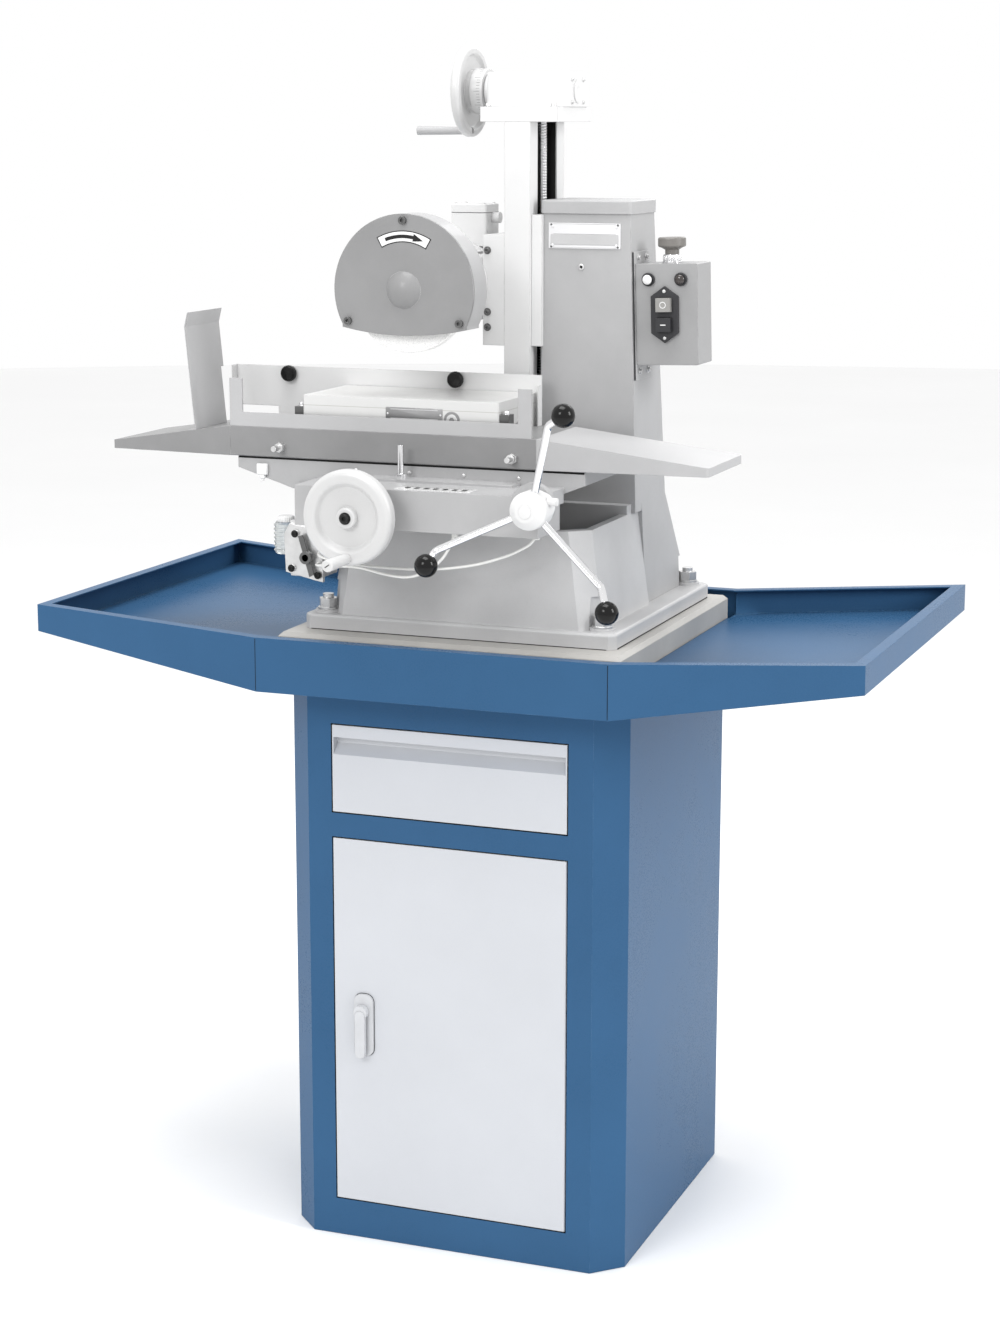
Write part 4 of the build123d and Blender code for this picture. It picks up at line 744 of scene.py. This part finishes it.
# ---- table: guard knobs, chuck label, key ring, stud washers, screws -----------------------------
def make_table_details():
    knob_low, knob_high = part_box("guard_knobs")
    radius = (knob_high.z - knob_low.z) / 2
    depth = knob_high.y - knob_low.y
    middle_z = (knob_low.z + knob_high.z) / 2
    bm = bmesh.new()
    for x in (knob_low.x + radius, knob_high.x - radius):
        rim = fluted(radius, 0.7 * MM, 30)
        lathe(bm, facing(FRONT, (x, knob_high.y, middle_z)),
              [(0, 0), (radius * 0.75, 0), (radius * 0.75, 2 * MM), (rim, 3 * MM), (rim, depth - 2.5 * MM),
               (radius - 1.6 * MM, depth - 0.6 * MM), (radius - 4 * MM, depth), (0, depth - 0.4 * MM)], 180)
    knobs = finish_piece("back_guard_knobs", bm, "black_plastic", "table")
    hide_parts("guard_knobs")
    chuck_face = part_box("magnetic_chuck")[0].y
    key = joint_at["chuck_key_turn"]
    label_x = (-104 * MM + key.x - 14 * MM) / 2
    label = wall_frame((label_x - 6 * MM, chuck_face, key.z + 6 * MM))
    bm = bmesh.new()
    plate(bm, label, rectangle(86 * MM, 18 * MM, 1 * MM), 0.5 * MM, 0.1 * MM)
    finish_piece("chuck_label", bm, "plate", "table", "cover_grey")
    bm = bmesh.new()
    lift = label @ Matrix.Translation((0, 0, 0.5 * MM))
    for x in (-40, 40):
        lathe(bm, lift @ Matrix.Translation((x * MM, 0, 0)),
              [(0, 0), (1.5 * MM, 0), (1.2 * MM, 0.7 * MM), (0, 0.9 * MM)], 20)
    for y in (-6.4, 6.4):
        plate(bm, lift, rectangle(72 * MM, 0.7 * MM, centre=(0, y * MM)), 0.1 * MM)
    finish_piece("chuck_label_rivets", bm, "plate", "table")
    bm = bmesh.new()
    collar = facing(FRONT, (key.x, chuck_face, key.z))
    lathe(bm, collar, [(9 * MM, 0), (12 * MM, 0), (12 * MM, 0.5 * MM), (9 * MM, 0.7 * MM)], 48)
    finish_piece("chuck_key_ring", bm, "dark_plastic", "table", "cover_grey")
    bm = bmesh.new()
    stud_low, stud_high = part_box("stop_studs")
    stud_z = (stud_low.z + stud_high.z) / 2
    for x in (stud_low.x + 7.5 * MM, stud_high.x - 7.5 * MM):
        lathe(bm, facing(FRONT, (x, stud_high.y - 9 * MM, stud_z)),
              [(0, 0), (6.2 * MM, 0), (6.2 * MM, 1.2 * MM), (0, 1.2 * MM)], 32)
    finish_piece("stop_stud_washers", bm, "zinc_steel", "table")
    bm = bmesh.new()
    clamp_low, clamp_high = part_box("chuck_clamps")
    for x in (clamp_low.x + 7 * MM, clamp_high.x - 7 * MM):
        socket_screw(bm, (x, (clamp_low.y + clamp_high.y) / 2, clamp_high.z), UP, 4 * MM)
    finish_piece("clamp_screws", bm, "zinc_steel", "table", "bright_steel")
    panel_low, panel_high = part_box("back_guard")
    bm = bmesh.new()
    for x in (-300, -180, -20, 40):
        slotted_screw(bm, (x * MM, panel_high.y, panel_low.z + 14 * MM), BACK, 3.2 * MM)
    finish_piece("back_guard_screws", bm, "zinc_steel", "table")


make_table_details()


# ---- column: blank nameplate, plug screw; switch box trim and back cover -------------------------
def make_column_details():
    plate_low, plate_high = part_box("nameplate")
    width = plate_high.x - plate_low.x
    middle = (plate_low.x + plate_high.x) / 2
    face = plate_high.y - 1.5 * MM
    bm = bmesh.new()
    band = wall_frame((middle, face, plate_low.z + 12.5 * MM))
    plate(bm, band, rectangle(width - 6 * MM, 15 * MM, 1 * MM), 0.25 * MM)
    finish_piece("nameplate_band", bm, "plate", "root", "base_grey_and_painted_light")
    bm = bmesh.new()
    plate_frame = wall_frame((middle, face, (plate_low.z + plate_high.z) / 2))
    for y in (-16.6, 2.6, 16.6):
        plate(bm, plate_frame, rectangle(width - 14 * MM, 0.6 * MM, centre=(0, y * MM)), 0.15 * MM)
    finish_piece("nameplate_lines", bm, "dark_plastic", "root", "base_grey_and_painted_light")
    bm = bmesh.new()
    for x in (-1, 1):
        for y in (-1, 1):
            pin = Matrix.Translation((x * (width / 2 - 4 * MM), y * 15.5 * MM, 0))
            lathe(bm, plate_frame @ pin, [(0, 0), (1.7 * MM, 0), (1.3 * MM, 0.7 * MM), (0, 0.9 * MM)], 20)
    finish_piece("nameplate_pins", bm, "zinc_steel", "root", "dark_steel")
    plug_x = 107 * MM
    plug_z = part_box("column")[1].z - 75 * MM
    bm = bmesh.new()
    socket_screw(bm, (plug_x, 1.6 * MM, plug_z), FRONT, 4.6 * MM, 2 * MM)
    finish_piece("column_plug_screw", bm, "zinc_steel", "root")
    bm = bmesh.new()
    # A black hexagon down in the plug screw's socket: painted shade.
    lathe(bm, wall_frame((plug_x, -0.5 * MM, plug_z)), [(0, 0), (2.2 * MM, 0), (0, 0.12 * MM)], 6)
    finish_piece("column_plug_socket_painted_shade", bm, "dark_plastic", "root", "ink")


def make_switch_details():
    """Trim in the leaning frame of the column's side."""
    plate_low, plate_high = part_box("switch_plate")
    push = next(j for j in frame["joints"] if j["name"] == "emergency_button_push")
    up = -Vector(push["axis"])
    across = BACK.cross(up).normalized()
    if across.x < 0:
        across = -across
    turn = Matrix((across, BACK, up)).transposed().to_4x4()
    middle = Vector(((plate_low.x + plate_high.x) / 2, plate_high.y, (plate_low.z + plate_high.z) / 2))
    box_place = Matrix.Translation(middle) @ turn

    def on_face(x, z, y=0.0):
        """A frame on the box's front; x and z from the switch plate's middle, y towards the operator."""
        return box_place @ Matrix.Translation((x, -y, z)) @ Matrix.Rotation(radians(90), 4, "X")

    lamp_x = 24 * MM
    lamp_z = 49.5 * MM
    bm = bmesh.new()
    for x in (-lamp_x, lamp_x):
        lathe(bm, on_face(x, lamp_z, 2 * MM),
              [(9.2 * MM, 0), (9.6 * MM, 1 * MM), (9 * MM, 2.4 * MM), (7.4 * MM, 2.6 * MM),
               (7.2 * MM, 2 * MM)])
    finish_piece("lamp_bezels", bm, "dark_plastic", "root")
    for side, x, look in (("left", -lamp_x, "white_plastic"), ("right", lamp_x, "lamp_dark")):
        bm = bmesh.new()
        lathe(bm, on_face(x, lamp_z, 7.9 * MM),
              [(0, 0), (6.9 * MM, 0), (6.6 * MM, 0.9 * MM), (5.2 * MM, 2 * MM), (3 * MM, 2.7 * MM),
               (0, 3 * MM)], 40)
        finish_piece(f"lamp_lens_{side}", bm, "white_plastic", "root", look)
    bm = bmesh.new()
    for z in (-33 * MM, 33 * MM):
        lathe(bm, on_face(0, z, 5 * MM), [(0, 0), (2.6 * MM, 0), (2.3 * MM, 1.1 * MM), (0, 1.4 * MM)], 28)
    finish_piece("switch_plate_screws", bm, "zinc_steel", "root")
    bm = bmesh.new()
    for z in (80, -82):
        for y in (14, 52):
            spot = box_place @ Vector((-44 * MM, y * MM, z * MM))
            socket_screw(bm, spot, across, 3.4 * MM, 2.6 * MM)
    finish_piece("bracket_screws", bm, "zinc_steel", "root")
    bm = bmesh.new()
    # A dark strip down the bracket's front edge: painted shade of the edge seen side-on.
    plate(bm, on_face(-45.5 * MM, -2.5 * MM, 4 * MM), rectangle(2.4 * MM, 181 * MM, 0.4 * MM), 0.12 * MM)
    finish_piece("bracket_edge_painted_shade", bm, "dark_plastic", "root")
    bm = bmesh.new()
    plate(bm, on_face(2 * MM, 0, -65.8 * MM), rectangle(87.4 * MM, 138.4 * MM, 1 * MM), 1.5 * MM)
    finish_piece("switch_box_back", bm, "machine_grey", "root", "box_grey")
    box_top = 71.5 * MM
    stop_place = box_place @ Matrix.Translation((2 * MM, 30 * MM, box_top))
    bm = bmesh.new()
    collar_radius = 12.6 * MM
    bore = 10.5 * MM
    lathe(bm, stop_place, [(bore, 0), (14 * MM, 0), (14 * MM, 2 * MM), (collar_radius, 2.6 * MM),
                           (collar_radius, 11 * MM), (12.0 * MM, 12 * MM), (bore, 12 * MM)], 56)
    rib_count = 28
    for i in range(rib_count):
        spin = Matrix.Rotation(2 * pi * i / rib_count, 4, "Z")
        rib = stop_place @ spin @ Matrix.Translation((collar_radius, 0, 6.8 * MM))
        bmesh.ops.create_cone(bm, cap_ends=True, segments=8, radius1=0.6 * MM, radius2=0.6 * MM,
                              depth=7.4 * MM, matrix=rib)
    finish_piece("stop_collar", bm, "chrome", "root")
    bm = bmesh.new()
    lathe(bm, stop_place, [(7 * MM, 9 * MM), (10 * MM, 9 * MM), (10.1 * MM, 18.3 * MM),
                           (16.8 * MM, 22.2 * MM), (7 * MM, 22.2 * MM)], 56)
    finish_piece("stop_skirt", bm, "grey_plastic", "emergency_button", "stop_head")
    bm = bmesh.new()
    plate(bm, on_face(0, 14 * MM, 13 * MM), arc_band(3.6 * MM, 4.8 * MM, 0, 359.5, 40), 0.15 * MM)
    finish_piece("stop_mark", bm, "white_plastic", "stop_button")
    bm = bmesh.new()
    plate(bm, on_face(0, -14 * MM, 13.0 * MM), rectangle(8 * MM, 1.6 * MM, 0.5 * MM), 0.15 * MM)
    finish_piece("start_mark", bm, "white_plastic", "start_button")


make_column_details()
make_switch_details()


# ---- tray: front seams and corner welds ----------------------------------------------------------
def make_tray_details():
    pan_low, pan_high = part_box("tray_centre")
    bm = bmesh.new()
    for x in (pan_low.x, pan_high.x):
        place = wall_frame((x, pan_low.y, (pan_low.z + pan_high.z) / 2))
        plate(bm, place, rectangle(0.9 * MM, pan_high.z - pan_low.z - 3 * MM, 0.3 * MM), 0.12 * MM)
    finish_piece("tray_front_seams", bm, "dark_plastic", "root", "seam_and_painted_shade_black")
    weld_z = pan_low.z + 39.5 * MM
    for side, x in (("left", pan_low.x - 0.6 * MM), ("right", pan_high.x + 0.6 * MM)):
        points = [Vector((x, pan_high.y - 3 * MM, weld_z + i * 6 * MM)) for i in range(6)]
        tube(f"tray_weld_{side}", points, 1.6 * MM, "blue_paint", "root")


make_tray_details()


# ---- cabinet: painted shade in the gaps round the openings, latch gasket; painted shadow under the casting's foot ---
def make_cabinet_details():
    gap = 2 * MM
    shade_width = 0.9 * MM
    # Black strips down in the gaps round the door and the drawer: painted shade.
    bm = bmesh.new()
    for node in ("cabinet_door", "drawer"):
        low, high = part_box(node)
        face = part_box("cabinet_shell")[0].y
        x0, x1 = low.x - gap, high.x + gap
        z0, z1 = low.z - gap, high.z + gap
        y0, y1 = face + 0.5 * MM, face + 2 * MM
        box(bm, (x0, y0, z0), (x0 + shade_width, y1, z1), 0.2 * MM)
        if node == "drawer":    # the door swings through the place of its right-hand strip
            box(bm, (x1 - shade_width, y0, z0), (x1, y1, z1), 0.2 * MM)
        box(bm, (x0 + shade_width, y0, z0), (x1 - shade_width, y1, z0 + shade_width), 0.2 * MM)
        box(bm, (x0 + shade_width, y0, z1 - shade_width), (x1 - shade_width, y1, z1), 0.2 * MM)
    finish_piece("opening_gap_painted_shade", bm, "dark_plastic", "root", "seam_and_painted_shade_black")
    low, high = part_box("door_escutcheon")
    middle = ((low.x + high.x) / 2, high.y - 0.15 * MM, (low.z + high.z) / 2)
    bm = bmesh.new()
    outline = rectangle(high.x - low.x + 1.6 * MM, high.z - low.z + 1.6 * MM, 12.8 * MM)
    plate(bm, wall_frame(middle), outline, 0.5 * MM)
    finish_piece("latch_gasket", bm, "dark_plastic", "door")
    low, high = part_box("base_casting")
    inset = 12 * MM
    lap = 4 * MM
    proud = 0.15 * MM
    # Dark strips along the foot's bottom edges: painted shadow of the gap above the plinth.
    bm = bmesh.new()
    box(bm, (high.x - lap, low.y + inset, low.z), (high.x + proud, high.y - inset, low.z + 1.6 * MM),
        0.1 * MM)
    box(bm, (low.x + inset, low.y - proud, low.z), (high.x - inset, low.y + lap, low.z + 1.1 * MM),
        0.1 * MM)
    finish_piece("foot_painted_shadow", bm, "dark_plastic", "root", "seam_and_painted_shade_black")


make_cabinet_details()


# ---- camera, lights and floor --------------------------------------------------------------------
def area_light(name, place, target, size, power):
    lamp = bpy.data.lights.new(name, "AREA")
    lamp.shape = "RECTANGLE"
    lamp.size, lamp.size_y = size
    lamp.energy = power
    obj = bpy.data.objects.new(name, lamp)
    obj.location = place
    obj.rotation_euler = (Vector(target) - Vector(place)).to_track_quat("-Z", "Y").to_euler()
    bpy.context.scene.collection.objects.link(obj)


def make_studio():
    camera = bpy.data.cameras.new("camera")
    camera.lens = 72.5
    camera.sensor_width = 36
    camera.clip_end = 100
    holder = bpy.data.objects.new("camera", camera)
    holder.location = (1.36528, -3.61658, 1.62466)
    holder.rotation_euler = (radians(78.44), radians(-0.05), radians(20.92))
    bpy.context.scene.collection.objects.link(holder)
    bpy.context.scene.camera = holder

    world = bpy.data.worlds.new("studio")
    world.use_nodes = True
    sky = world.node_tree.nodes["Background"]
    sky.inputs["Color"].default_value = (1.0, 1.0, 1.0, 1)
    sky.inputs["Strength"].default_value = 1.0
    bpy.context.scene.world = world
    bpy.context.scene.view_settings.view_transform = "Standard"

    bm = bmesh.new()
    bmesh.ops.create_circle(bm, cap_ends=True, segments=96, radius=14.0)
    mesh = bpy.data.meshes.new("floor")
    bm.to_mesh(mesh)
    bm.free()
    floor = bpy.data.objects.new("floor", mesh)
    floor.location.z = -0.6 * MM
    mesh.materials.append(surface("floor_white", (0.93, 0.93, 0.93), (0.6, 0.7), tint=0.01, cloud=0.8,
                                  grain=60.0, bump=0.02))
    bpy.context.scene.collection.objects.link(floor)

    area_light("key", (-1.0, -4.4, 3.4), (0, 0, 1.3), (1.6, 1.6), 70)
    area_light("side", (3.6, -0.6, 2.6), (0, 0, 1.2), (1.0, 1.8), 60)
    area_light("top", (-0.2, -0.6, 4.6), (0, 0, 1), (2.4, 1.8), 90)
    area_light("rear", (0.4, 3.2, 3.0), (0, 0, 1.2), (2.0, 1.5), 25)


make_studio()
